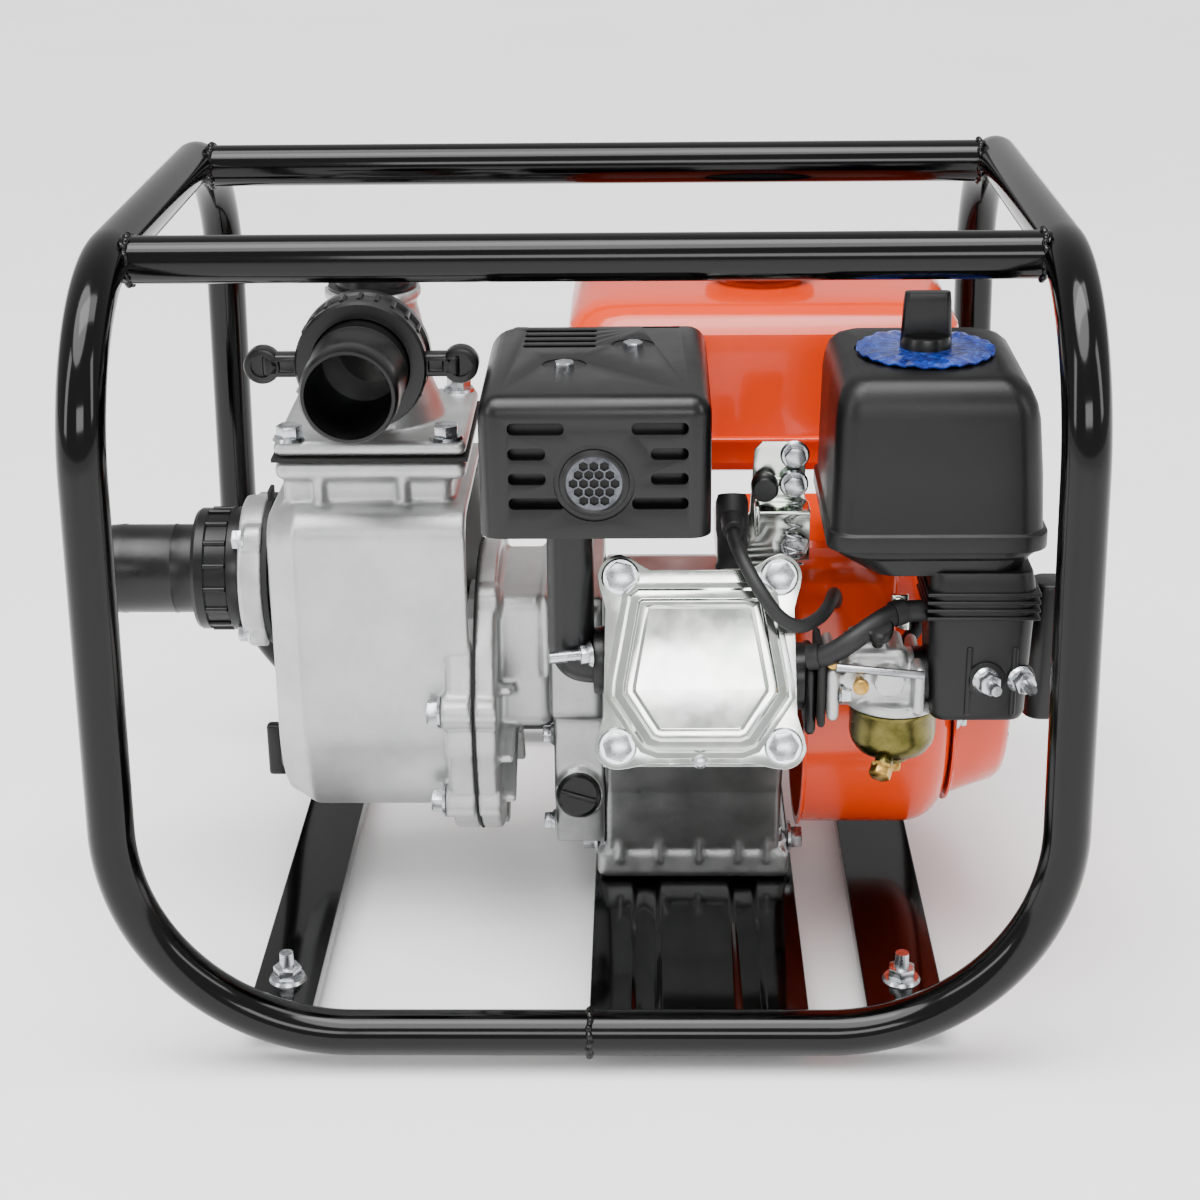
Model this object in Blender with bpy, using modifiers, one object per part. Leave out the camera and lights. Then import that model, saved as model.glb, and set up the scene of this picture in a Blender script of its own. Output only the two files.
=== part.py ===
"""Portable engine-driven water pump in a tubular carrying frame.

Run with: blender --background --factory-startup --python part.py

The design is drawn in millimetres about the frame's centre: X runs from the pump (left) to the
recoil starter (right), Y runs from the muffler and air cleaner (front, -Y) to the fuel tank (rear),
and Z = 0 is the ground under the rubber feet. The datum empty shifts all of it along X, so that the
world origin lies under the middle of the whole machine, hose tail and starter grip included.
"""

import math

import bmesh
import bpy
from mathutils import Matrix, Vector

MM = 0.001
GAP = 0.3  # between faces that rest on each other
RUN_GAP = 0.8  # round a part that turns or slides
LARGE, ROUND, SMALL = 24, 16, 8  # sides of large, middling and small round pieces

# ---- carrying frame
TUBE_R = 11.5
FOOT_PROUD = 8.0  # feet below the bottom rail
HOOP_X = 231.8  # tube centreline at the widest point
RAIL_Y = 193.3  # centreline of the bottom rails, front and rear
HOOP_TOP_Z = 399.2
LOWER_BEND = 112.0
UPPER_BEND = 87.3
HOOP_LEAN = math.radians(1.04)
TOP_RAIL_Y = 113.7
TOP_RAIL_DROP = 2.3  # top rails below the hoops' centreline
SHEET = 2.5
CHANNEL_HEIGHT = 11.0
LEFT_MEMBER_X, LEFT_MEMBER_WIDTH = -159.8, 33.3
RIGHT_MEMBER_X, RIGHT_MEMBER_WIDTH = 161.4, 40.2
PLATE_X, PLATE_WIDTH = 55.3, 112.2
FOOT_Y = 141.5
FOOT_R = 13.0
STUD_R = 4.0

# ---- engine
BASE_SEAT = GAP
BASE_X0, BASE_X1 = 0.7, 108.6
BASE_Y0, BASE_Y1 = -35.0, 152.0
BASE_THICK = 18.0
CRANK_HEIGHT = 106.9  # shaft above the engine's seat
RAIL_Z = FOOT_PROUD + TUBE_R
SEAT_Z = RAIL_Z + BASE_SEAT
CRANK_Z = SEAT_Z + CRANK_HEIGHT
CRANK_Y = 0.0
TILT = math.radians(25.0)  # cylinder above the horizontal
CYLINDER_X = 54.65
BORE_R = 34.0
DECK = 128.0  # crank axis to the cylinder's top face
HEAD_LENGTH = 39.5
STROKE = 45.0
SHAFT_R = 12.5
FLYWHEEL_R = 70.0
SHROUD_R = 78.0
SHROUD_X0, SHROUD_X1 = 112.0, 193.0
RECOIL_DEPTH = 33.0
PULLEY_R = 44.0
ROPE_R = 2.2

PLUG_X = 72.0
PLUG_ALONG = 148.0  # plug axis along the bore, from the crank
HOOD_X0, HOOD_X1 = 66.0, 160.0
HOOD_Y0, HOOD_Y1 = -72.0, 12.0
HOOD_Z0, HOOD_Z1 = CRANK_Z + 87.3, CRANK_Z + 109.3
SWITCH_AT = (168.0, -6.0, CRANK_Z + 93.3)

# ---- muffler and guard
GUARD_X0, GUARD_X1 = -51.0, 60.5
GUARD_Y0, GUARD_Y1 = -150.0, -12.0
GUARD_Z0, GUARD_Z1 = CRANK_Z + 141.3, CRANK_Z + 211.3
GUARD_WALL = 1.5
GUARD_HOLE_R = 19.3
ARRESTOR_R = 13.7
ARRESTOR_X, ARRESTOR_Z = 4.4, CRANK_Z + 169.3

# ---- intake side
CLEANER_X0, CLEANER_X1 = 116.0, 222.0
CLEANER_Y0, CLEANER_Y1 = -156.0, -37.0
CLEANER_Z0, CLEANER_Z1 = CRANK_Z + 135.3, CRANK_Z + 218.3
CLEANER_WALL = 3.0
KNOB_X, KNOB_Y = 165.5, -96.0
CARB_Y, CARB_Z = -132.0, CRANK_Z + 61.3
CARB_X0, CARB_X1 = 117.3, 165.7
BOWL_X, BOWL_Y = 153.0, -128.0
BOWL_R = 25.0
ELBOW_X0, ELBOW_X1 = 166.0, 218.0
ELBOW_Y0, ELBOW_Y1 = -153.0, -110.0
ELBOW_Z0 = CRANK_Z + 45.3

# ---- fuel tank
TANK_X0, TANK_X1 = -16.0, 204.0
TANK_Y0, TANK_Y1 = 24.0, 174.0
TANK_Z0, TANK_SEAM_Z, TANK_Z1 = CRANK_Z + 113.3, CRANK_Z + 135.3, CRANK_Z + 207.3
TANK_WALL = 2.0
CAP_X, CAP_Y = 94.0, 100.0
CAP_R = 31.0
FILLER_R = 22.0

# ---- pump
PUMP_FLANGE_R = 82.0
DRUM_R = 68.0
CASING_WALL = 5.0
CASING_X0, CASING_X1 = -170.5, -63.0
CASING_FLANGE = 14.5
ADAPTER_THICK = 11.5
CHAMFER = 17.0
SHOULDER_Z = CRANK_Z + 123.3
TOP_FLANGE_Z = CRANK_Z + 147.3
TOP_FLANGE_THICK = 11.0
OUTLET_X = -115.0
TOP_FLANGE_HALF = 50.5
GASKET = 1.8
ELBOW_BASE_THICK = 8.5
IMPELLER_R = 50.0
FLAP_R = 24.0
DRAIN_Y, DRAIN_Z = -5.0, CRANK_Z - 38.7
SUCTION_Z = CRANK_Z + 69.3
SUCTION_PAD_R = 40.0
PORT_R = 21.0
TAIL_R = 24.5
TAIL_COLLAR_R = 31.0
NUT_R = 34.0
NUT_LENGTH = 27.0
TAIL_LENGTH = 57.0
OUTLET_Z = CRANK_Z + 203.3
OUTLET_PORT_Y = -41.0
WING_REACH = 60.0
FILLER_TOP_Z = CRANK_Z + 228.3

# ---- leads and hoses, route points at rest, heights from the crank
LEAD_ROUTE = [
    (72, -119.8, 132.5), (72.4, -128, 131.7), (76, -143, 127.3), (84, -156, 116.3),
    (93, -161, 105.3), (103, -159, 99.3), (113, -148, 99.3), (119, -134, 100.3),
    (123, -112, 97.3), (126, -91, 86.3), (127, -76, 78.3),
]
BREATHER_ROUTE = [
    (107.2, -151, 79.8), (111, -151, 79.8), (118, -154, 82.3), (128, -155, 89.3),
    (140, -150, 96.3), (152, -142, 99.3), (165.5, -139, 99.3),
]
FUEL_ROUTE = [
    (184, 44, 110.8), (184, 40, 102.3), (184, 10, 92.3), (184, -35, 86.3), (180, -62, 78.3),
    (170, -78, 66.3), (162, -87, 58.3), (158.5, -92.5, 54.3),
]

# ---- derived places
TOP_RAIL_Z = HOOP_TOP_Z - TOP_RAIL_DROP
CASE_X0, CASE_X1 = BASE_X0 + 5.3, BASE_X1 - 5.6
COVER_X0, COVER_X1 = -22.0, CASE_X0 - GAP
ADAPTER_X0 = CASING_X1 + GAP
ADAPTER_X1 = ADAPTER_X0 + ADAPTER_THICK
SUCTION_PAD_X = CASING_X0 - 4.0
SUCTION_FLANGE_X1 = SUCTION_PAD_X - 3.3
SUCTION_FLANGE_X0 = SUCTION_FLANGE_X1 - 13.4
SUCTION_END_X = SUCTION_FLANGE_X0 - NUT_LENGTH - GAP - TAIL_LENGTH + 5.0
RECOIL_X1 = SHROUD_X1 + GAP + RECOIL_DEPTH
GRIP_X = RECOIL_X1 + 11.5
GRIP_Z = CRANK_Z + PULLEY_R + 8.0
MACHINE_X0 = SUCTION_END_X
MACHINE_X1 = GRIP_X + 12.0
CENTRE_SHIFT = -(MACHINE_X0 + MACHINE_X1) / 2
BOWL_TOP_Z = CARB_Z - 26.0
IMPELLER_X = ADAPTER_X0 - GAP - 14
VALVE_X, VALVE_Y, VALVE_Z = 170.0, -102.0, CRANK_Z + 53.3
CHOKE_X = 158.0
THROTTLE_AT = (104.0, CRANK_Z + 144.3)
OIL_FILLER_AT = Vector((-8.5, -30.0, CRANK_Z - 52.7))
OIL_FILLER_WAY = Vector((0, -0.94, 0.34))

AXIS_X, AXIS_Y, AXIS_Z = Vector((1, 0, 0)), Vector((0, 1, 0)), Vector((0, 0, 1))
UP_BORE = Vector((0, -math.cos(TILT), math.sin(TILT)))  # from the crank towards the head
ACROSS_BORE = Vector((0, math.sin(TILT), math.cos(TILT)))  # towards the plug side

BLACK_PAINT = ("black_paint", (0.012, 0.012, 0.013), 0.18, 0.0)
RUBBER = ("black_rubber", (0.015, 0.015, 0.015), 0.7, 0.0)
PLASTIC = ("black_plastic", (0.02, 0.02, 0.021), 0.4, 0.0)
CAST_ALUMINIUM = ("cast_aluminium", (0.58, 0.58, 0.58), 0.45, 0.8)
ENGINE_ALUMINIUM = ("engine_aluminium", (0.5, 0.5, 0.5), 0.4, 0.85)
ZINC = ("bright_zinc", (0.75, 0.78, 0.76), 0.15, 1.0)
STEEL = ("steel", (0.45, 0.45, 0.46), 0.3, 1.0)
ORANGE = ("orange_enamel", (0.9, 0.16, 0.02), 0.2, 0.0)
HEAT_BLACK = ("heat_black", (0.02, 0.02, 0.02), 0.35, 0.3)
BOWL_ZINC = ("olive_zinc", (0.36, 0.32, 0.13), 0.3, 0.9)
PAPER = ("filter_foam", (0.25, 0.24, 0.2), 0.9, 0.0)
CERAMIC = ("white_ceramic", (0.85, 0.84, 0.8), 0.2, 0.0)


# ---------------------------------------------------------------- tools
def clear_scene():
    for obj in list(bpy.data.objects):
        bpy.data.objects.remove(obj, do_unlink=True)


def new_collection(name, hidden=False):
    collection = bpy.data.collections.new(name)
    bpy.context.scene.collection.children.link(collection)
    collection.hide_render = hidden
    return collection


clear_scene()
PARTS = new_collection("fire_pump")
CUTTERS = new_collection("cutters", hidden=True)
DATUM = bpy.data.objects.new("frame_datum", None)
DATUM.location = (CENTRE_SHIFT * MM, 0, 0)
PARTS.objects.link(DATUM)


def turn_to(axis):
    """The rotation that carries local Z to the given direction."""
    return Vector(axis).normalized().to_track_quat("Z", "Y")


def add_object(data, at=(0, 0, 0), rotation=None):
    """A helper object until finish() makes it a part."""
    obj = bpy.data.objects.new("helper", data)
    CUTTERS.objects.link(obj)
    obj.parent = DATUM
    obj.location = Vector(at) * MM
    obj.rotation_mode = "QUATERNION"
    if rotation is not None:
        obj.rotation_quaternion = rotation
    obj.hide_render = True
    obj.display_type = "WIRE"
    return obj


def mesh_of(bm):
    mesh = bpy.data.meshes.new("helper")
    bmesh.ops.recalc_face_normals(bm, faces=bm.faces)
    bm.to_mesh(mesh)
    bm.free()
    return mesh


def bevelled(obj, width, segments=2, angle=40):
    modifier = obj.modifiers.new("rounded_edges", "BEVEL")
    modifier.width = width * MM
    modifier.segments = segments
    modifier.limit_method = "ANGLE"
    modifier.angle_limit = math.radians(angle)
    return obj


def block(low, high, rounding=0.0, segments=1):
    """A box between two corners."""
    low, high = Vector(low), Vector(high)
    bm = bmesh.new()
    bmesh.ops.create_cube(bm, size=1)
    bmesh.ops.scale(bm, vec=(high - low) * MM, verts=bm.verts)
    obj = add_object(mesh_of(bm), (low + high) / 2)
    return bevelled(obj, rounding, segments) if rounding else obj


def rod(start, direction, length, radius, sides=20, end_radius=None):
    """A cylinder or cone from start along direction, with its origin at start."""
    bm = bmesh.new()
    tip = radius if end_radius is None else end_radius
    bmesh.ops.create_cone(
        bm, cap_ends=True, segments=sides, radius1=radius * MM, radius2=tip * MM, depth=length * MM
    )
    bmesh.ops.translate(bm, vec=(0, 0, length / 2 * MM), verts=bm.verts)
    return add_object(mesh_of(bm), start, turn_to(direction))


def turned(profile, at, axis, sides=20, ring=False):
    """A profile of (radius, height) points, outer side running downwards, spun about the axis."""
    mesh = bpy.data.meshes.new("helper")
    points = [(radius * MM, 0, height * MM) for radius, height in profile]
    edges = [(i, i + 1) for i in range(len(points) - 1)]
    if ring:
        edges.append((len(points) - 1, 0))
    mesh.from_pydata(points, edges, [])
    obj = add_object(mesh, at, turn_to(axis))
    screw = obj.modifiers.new("turned", "SCREW")
    screw.steps = screw.render_steps = sides
    screw.use_merge_vertices = True
    screw.merge_threshold = 0.00001
    return obj


def curve_solid(curve, rotation=None, at=(0, 0, 0)):
    """The closed mesh of a curve object, with its caps welded on."""
    guide = add_object(curve, at, rotation)
    bpy.context.view_layer.update()
    graph = bpy.context.evaluated_depsgraph_get()
    mesh = bpy.data.meshes.new_from_object(guide.evaluated_get(graph))
    bm = bmesh.new()
    bm.from_mesh(mesh)
    bmesh.ops.remove_doubles(bm, verts=bm.verts, dist=0.00001)
    bmesh.ops.recalc_face_normals(bm, faces=bm.faces)
    bm.to_mesh(mesh)
    bm.free()
    solid = add_object(mesh, at, rotation)
    bpy.data.objects.remove(guide, do_unlink=True)
    return solid


def poly_curve(points, cyclic, dimensions):
    curve = bpy.data.curves.new("helper", "CURVE")
    curve.dimensions = dimensions
    spline = curve.splines.new("POLY")
    spline.points.add(len(points) - 1)
    for target, point in zip(spline.points, points):
        target.co = (*(value * MM for value in point), 1)
    spline.use_cyclic_u = cyclic
    return curve


def pipe(points, radius, resolution=2):
    """A round bar or tube's outer shape along the points."""
    curve = poly_curve(points, False, "3D")
    curve.bevel_depth = radius * MM
    curve.bevel_resolution = resolution
    curve.use_fill_caps = True
    return curve_solid(curve)


# A plate's outline is drawn in (Y, Z) and thickened along X, or in (X, Z) along Y, or (X, Y) along Z.
PLATE_TURNS = {
    "X": Matrix(((0, 0, 1), (1, 0, 0), (0, 1, 0))).to_quaternion(),
    "Y": Matrix(((1, 0, 0), (0, 0, -1), (0, 1, 0))).to_quaternion(),
    "Z": Matrix.Identity(3).to_quaternion(),
}
PLATE_AXES = {"X": AXIS_X, "Y": AXIS_Y, "Z": AXIS_Z}


def plate(outline, axis, low, high):
    curve = poly_curve([(a, b, 0) for a, b in outline], True, "2D")
    curve.fill_mode = "BOTH"
    curve.extrude = (high - low) / 2 * MM
    return curve_solid(curve, PLATE_TURNS[axis], PLATE_AXES[axis] * (low + high) / 2)


def arc(centre, radius, start, end, steps):
    """Points on an arc, angles in degrees."""
    turns = [math.radians(start + (end - start) * i / steps) for i in range(steps + 1)]
    return [(centre[0] + radius * math.cos(a), centre[1] + radius * math.sin(a)) for a in turns]


def rounded_rectangle(x0, x1, y0, y1, radius, steps=3):
    corners = [(x1, y1, 0), (x0, y1, 90), (x0, y0, 180), (x1, y0, 270)]
    points = []
    for x, y, start in corners:
        centre = (x - math.copysign(radius, x - x0 - 1), y - math.copysign(radius, y - y0 - 1))
        points += arc(centre, radius, start, start + 90, steps)
    return points


def loft(sections):
    """A solid through stacked rounded rectangles, each (z, x0, x1, y0, y1, corner radius)."""
    bm = bmesh.new()
    rings = []
    for z, x0, x1, y0, y1, radius in sections:
        outline = rounded_rectangle(x0, x1, y0, y1, radius)
        rings.append([bm.verts.new((x * MM, y * MM, z * MM)) for x, y in outline])
    for lower, upper in zip(rings, rings[1:]):
        for i in range(len(lower)):
            j = (i + 1) % len(lower)
            bm.faces.new((lower[i], lower[j], upper[j], upper[i]))
    bm.faces.new(reversed(rings[0]))
    bm.faces.new(rings[-1])
    return add_object(mesh_of(bm))


def grown(sections, amount):
    """The same sections offset outwards, or inwards for a negative amount."""
    return [
        (z, x0 - amount, x1 + amount, y0 - amount, y1 + amount, radius + amount)
        for z, x0, x1, y0, y1, radius in sections
    ]


def above_crank(route):
    return [(x, y, CRANK_Z + z) for x, y, z in route]


def smooth(points, steps):
    """Points along a smooth curve through the given ones."""
    knots = [Vector(point) for point in points]
    knots = [2 * knots[0] - knots[1]] + knots + [2 * knots[-1] - knots[-2]]
    path = []
    for a, b, c, d in zip(knots, knots[1:], knots[2:], knots[3:]):
        for i in range(steps):
            t = i / steps
            path.append(
                ((2 * b) + (c - a) * t + (2 * a - 5 * b + 4 * c - d) * t**2
                 + (3 * b - a - 3 * c + d) * t**3) / 2
            )
    return path + [knots[-2]]


def combine(obj, operation, others):
    for other in others:
        modifier = obj.modifiers.new(operation.lower(), "BOOLEAN")
        modifier.operation = operation
        modifier.object = other
        modifier.solver = "EXACT"
    return obj


def joined(obj, *others):
    return combine(obj, "UNION", others)


def cut(obj, *others):
    return combine(obj, "DIFFERENCE", others)


def paint(obj, finish):
    name, colour, roughness, metallic = finish
    material = bpy.data.materials.get(name)
    if material is None:
        material = bpy.data.materials.new(name)
        material.use_nodes = True
        shader = material.node_tree.nodes["Principled BSDF"]
        shader.inputs["Base Color"].default_value = (*colour, 1)
        shader.inputs["Roughness"].default_value = roughness
        shader.inputs["Metallic"].default_value = metallic
        material.diffuse_color = (*colour, 1)
    obj.data.materials.clear()
    obj.data.materials.append(material)


def finish(name, obj, colour, pivot=None):
    """Makes a helper a named part; a moving one hangs from an empty on its joint's axis."""
    obj.name = name
    obj.data.name = name
    CUTTERS.objects.unlink(obj)
    PARTS.objects.link(obj)
    obj.hide_render = False
    obj.display_type = "TEXTURED"
    paint(obj, colour)
    obj.data.shade_smooth()
    obj.data.set_sharp_from_angle(angle=math.radians(35))
    if pivot is not None:
        hinge = bpy.data.objects.new(name + "_axis", None)
        PARTS.objects.link(hinge)
        hinge.parent = DATUM
        hinge.location = Vector(pivot) * MM
        obj.parent = hinge
        obj.location -= hinge.location
    return obj


def from_crank(along, across, x=0.0):
    """A point in the tilted cylinder's own directions, measured from the crank axis."""
    return Vector((x, CRANK_Y, CRANK_Z)) + UP_BORE * along + ACROSS_BORE * across


HEAD_TURN = Matrix((AXIS_X, ACROSS_BORE, UP_BORE)).transposed().to_quaternion()


def on_head(obj, along):
    """Stands a shape drawn in (X, across the bore) on the head, at a distance from the crank."""
    obj.rotation_quaternion = HEAD_TURN
    obj.location += from_crank(along, 0) * MM
    return obj


def crank_outline(pairs):
    return [tuple(from_crank(along, across).yz) for along, across in pairs]


# ---------------------------------------------------------------- carrying frame
def hoop_path(side):
    """Centreline of a bent hoop, from the weld in the front rail over the top to the rear rail."""
    bend_z = RAIL_Z + LOWER_BEND
    lean_end = math.degrees(HOOP_LEAN)
    lower = arc((HOOP_X - LOWER_BEND, bend_z), LOWER_BEND, -90, lean_end, 8)
    front = [(GAP / 2, RAIL_Z)] + lower
    path = [(side * x, -RAIL_Y, z) for x, z in front]
    start_x, start_z = lower[-1]
    for a, b in arc((0, 0), UPPER_BEND, 180, 90, 6):
        z = HOOP_TOP_Z - UPPER_BEND + b
        x = start_x - (z - start_z) * math.tan(HOOP_LEAN)
        path.append((side * x, -RAIL_Y + UPPER_BEND + a, z))
    return path + [(x, -y, z) for x, y, z in reversed(path)]


def hoop_x_at(z):
    return HOOP_X - (z - RAIL_Z - LOWER_BEND) * math.tan(HOOP_LEAN)


def make_hoops():
    for name, side in (("frame_hoop_left", -1), ("frame_hoop_right", 1)):
        finish(name, pipe(hoop_path(side), TUBE_R, resolution=4), BLACK_PAINT)


def make_top_rails():
    reach = hoop_x_at(TOP_RAIL_Z) - TUBE_R + 7
    for name, side in (("top_rail_front", -1), ("top_rail_rear", 1)):
        rail = rod((-reach, side * TOP_RAIL_Y, TOP_RAIL_Z), AXIS_X, 2 * reach, TUBE_R, 12)
        copes = [pipe(hoop_path(end), TUBE_R + GAP, resolution=4) for end in (-1, 1)]
        finish(name, cut(rail, *copes), BLACK_PAINT)


def channel_outline(centre, width, ribs=()):
    """Folded channel, open below, in (X, Z); ribs are shallow grooves pressed along it."""
    half = width / 2
    top = [(centre - half, RAIL_Z)]
    under = []
    for rib in ribs:
        x = centre + rib
        top += [(x - 8, RAIL_Z), (x - 5, RAIL_Z - 2.5), (x + 5, RAIL_Z - 2.5), (x + 8, RAIL_Z)]
        low = RAIL_Z - SHEET
        under += [(x - 8, low), (x - 5, low - 2.5), (x + 5, low - 2.5), (x + 8, low)]
    top.append((centre + half, RAIL_Z))
    foot = RAIL_Z - CHANNEL_HEIGHT
    right = [(centre + half, foot), (centre + half - SHEET, foot)]
    right.append((centre + half - SHEET, RAIL_Z - SHEET))
    left = [(centre - half + SHEET, RAIL_Z - SHEET)]
    left += [(centre - half + SHEET, foot), (centre - half, foot)]
    return top + right + under[::-1] + left


def make_members():
    members = (
        ("cross_member_left", LEFT_MEMBER_X, LEFT_MEMBER_WIDTH, -1),
        ("cross_member_right", RIGHT_MEMBER_X, RIGHT_MEMBER_WIDTH, 1),
    )
    for name, x, width, side in members:
        reach = RAIL_Y - 3
        bar = plate(channel_outline(x, width), "Y", -reach, reach)
        tube = pipe(hoop_path(side), TUBE_R + GAP, resolution=4)
        holes = [rod((x, y, 0), AXIS_Z, RAIL_Z + 5, STUD_R + 0.5, 16) for y in (-FOOT_Y, FOOT_Y)]
        finish(name, cut(bar, tube, *holes), BLACK_PAINT)
    reach = RAIL_Y - TUBE_R - GAP
    outline = channel_outline(PLATE_X, PLATE_WIDTH, ribs=(-27, 27))
    finish("engine_plate", plate(outline, "Y", -reach, reach), BLACK_PAINT)


def make_feet():
    """Rubber bumpers, each with its steel stud moulded in and standing through the cross member."""
    top = RAIL_Z - SHEET - GAP
    profile = [(0, top + 16), (STUD_R, top + 16), (STUD_R, top)]
    profile += [(FOOT_R, top), (FOOT_R + 0.8, 3), (FOOT_R - 1, 0), (0, 0)]
    for end, x in (("left", LEFT_MEMBER_X), ("right", RIGHT_MEMBER_X)):
        for place, y in (("front", -FOOT_Y), ("rear", FOOT_Y)):
            finish(f"rubber_foot_{place}_{end}", turned(profile, (x, y, 0), AXIS_Z, ROUND), RUBBER)


# ---------------------------------------------------------------- engine
def make_crankcase():
    base = block((BASE_X0, BASE_Y0, SEAT_Z), (BASE_X1, BASE_Y1, SEAT_Z + BASE_THICK), 3)
    outline = [(-32, SEAT_Z + BASE_THICK - 3), (-52, CRANK_Z - 46.7)]
    outline += crank_outline([(52, -46), (DECK, -46), (DECK, 46), (52, 46)])
    outline += [(12, CRANK_Z + 71.3), (62, CRANK_Z + 53.3), (80, CRANK_Z + 23.3)]
    outline += [(80, SEAT_Z + BASE_THICK - 3)]
    body = plate(outline, "X", CASE_X0, CASE_X1)
    chamber = rod((-5, CRANK_Y, CRANK_Z), AXIS_X, 97, 44, ROUND)
    bore = rod(from_crank(20, 0, CYLINDER_X), UP_BORE, DECK, BORE_R, LARGE)
    shaft_hole = rod((80, CRANK_Y, CRANK_Z), AXIS_X, 40, SHAFT_R + RUN_GAP, ROUND)
    finish("crankcase", cut(joined(body, base), chamber, bore, shaft_hole), ENGINE_ALUMINIUM)


def make_crankcase_cover():
    floor = SEAT_Z + BASE_THICK + 2.5
    outline = [(-30, floor), (-48, CRANK_Z - 46.7), (-46, CRANK_Z - 6.7), (-46, CRANK_Z + 69.3)]
    outline += [(44, CRANK_Z + 71.3), (62, CRANK_Z + 53.3), (80, CRANK_Z + 23.3), (80, floor)]
    body = plate(outline, "X", COVER_X0, COVER_X1)
    boss = rod(OIL_FILLER_AT, OIL_FILLER_WAY, 26, 13.5, ROUND)
    shaft_hole = rod((-40, CRANK_Y, CRANK_Z), AXIS_X, 60, SHAFT_R + RUN_GAP, ROUND)
    neck = rod(OIL_FILLER_AT + Vector((0, -10, 3.6)), OIL_FILLER_WAY, 30, 9, ROUND)
    finish("crankcase_cover", cut(joined(body, boss), shaft_hole, neck), ENGINE_ALUMINIUM)


def make_oil_plug():
    direction = OIL_FILLER_WAY.normalized()
    start = OIL_FILLER_AT + direction * 26
    profile = [(0, 6), (11, 6), (12.5, 4.5), (12.5, GAP), (8, GAP), (8, -10), (0, -10)]
    head = turned(profile, start, direction, ROUND)
    ridge = block((-1.6, -11, 5), (1.6, 11, 9))
    ridge.rotation_quaternion = turn_to(direction)
    ridge.location = (start + direction * 7) * MM
    finish("oil_filler_plug", joined(head, ridge), PLASTIC)


def make_crank_group():
    """Crankshaft at top dead centre, its pin towards the head."""
    nose_x = IMPELLER_X - 9.5
    shaft = rod((nose_x, CRANK_Y, CRANK_Z), AXIS_X, SHROUD_X1 - 4 - nose_x, SHAFT_R, ROUND)
    pin_offset = UP_BORE * (STROKE / 2)
    pin = rod(Vector((33, CRANK_Y, CRANK_Z)) + pin_offset, AXIS_X, 42, 14.5, ROUND)
    webs = [rod((x, CRANK_Y, CRANK_Z), AXIS_X, 15, 38, 28) for x in (22, 72)]
    gap = block((37, -60, CRANK_Z - 66.7), (72, 60, CRANK_Z + 73.3))
    shaft = joined(cut(shaft, gap), *webs, pin)
    finish("crankshaft", shaft, STEEL)
    hub = SHAFT_R + GAP
    profile = [(FLYWHEEL_R, 34), (FLYWHEEL_R, 0), (hub, 0), (hub, 30), (24, 30), (24, 12)]
    profile += [(60, 12), (60, 34)]
    at = (SHROUD_X0 + 10, CRANK_Y, CRANK_Z)
    finish("flywheel_fan", turned(profile, at, AXIS_X, LARGE, ring=True), CAST_ALUMINIUM)


def make_piston():
    """Crown at the deck; the skirt stays clear of the webs at the bottom of the stroke."""
    length = 42.5
    skirt = from_crank(DECK - 1 - length, 0, CYLINDER_X)
    body = rod(skirt, UP_BORE, length, BORE_R - GAP, LARGE)
    hollow = rod(skirt - UP_BORE, UP_BORE, length - 7, BORE_R - 6, ROUND)
    finish("piston", cut(body, hollow), ENGINE_ALUMINIUM)


def make_head():
    outline = crank_outline(
        [(DECK + GAP, -44), (DECK + HEAD_LENGTH, -44), (DECK + HEAD_LENGTH, 46), (DECK + GAP, 46)]
    )
    body = plate(outline, "X", CASE_X0 + 4, CASE_X1 - 4)
    plug_hole = rod(from_crank(148, 14, 72), ACROSS_BORE, 60, 7.2, ROUND)
    spot_face = rod(from_crank(148, 36, 72), ACROSS_BORE, 60, 13, ROUND)
    finish("cylinder_head", cut(body, plug_hole, spot_face), ENGINE_ALUMINIUM)


def make_valve_cover():
    """Pressed cover: a square flange with a raised pan, hollow behind."""
    seat = DECK + HEAD_LENGTH + GAP
    flange = plate(rounded_rectangle(5, 106, -46.5, 59, 11), "Z", 0, 3)
    flange.location = UP_BORE * 1.5 * MM
    pan = loft([(2, 11, 100, -40, 47, 12), (10, 16, 95, -34, 42, 10), (13, 20, 91, -30, 38, 8)])
    hollow = loft([(-1, 14, 97, -37, 44, 10), (9, 19, 92, -31, 39, 8), (11, 22, 89, -28, 36, 7)])
    for piece in (flange, pan, hollow):
        on_head(piece, seat)
    finish("valve_cover", cut(joined(flange, pan), hollow), ZINC)


def make_ignition():
    foot = from_crank(PLUG_ALONG, 15, PLUG_X)
    profile = [(0, 64), (3, 64), (3, 52), (6, 50), (6, 36), (11, 35), (11, 22), (6.8, 21)]
    finish("spark_plug", turned(profile + [(6.8, 0), (0, 0)], foot, ACROSS_BORE, ROUND), CERAMIC)
    mouth = from_crank(PLUG_ALONG, 53, PLUG_X)
    boot = rod(mouth, ACROSS_BORE, 38, 8.2, ROUND)
    elbow = rod(mouth + ACROSS_BORE * 26, (0, -1, -0.1), 18, 6, ROUND)
    well = rod(mouth - ACROSS_BORE, ACROSS_BORE, 28, 6.6, ROUND)
    finish("spark_plug_cap", cut(joined(boot, elbow), well), RUBBER)
    finish("ignition_lead", pipe(smooth(above_crank(LEAD_ROUTE), 4), 3.5), RUBBER)
    x, y, z = SWITCH_AT
    box = block((HOOD_X1 + GAP, y - 13, z - 12), (x, y + 13, z + 12), 1.5)
    finish("engine_switch", box, PLASTIC)
    key = rod((x + GAP, y, z), AXIS_X, 4, 8, ROUND)
    grip = block((x + 2, y - 2, z - 7), (x + 9, y + 2, z + 7), 1)
    finish("switch_knob", joined(key, grip), ORANGE, pivot=SWITCH_AT)


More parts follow.
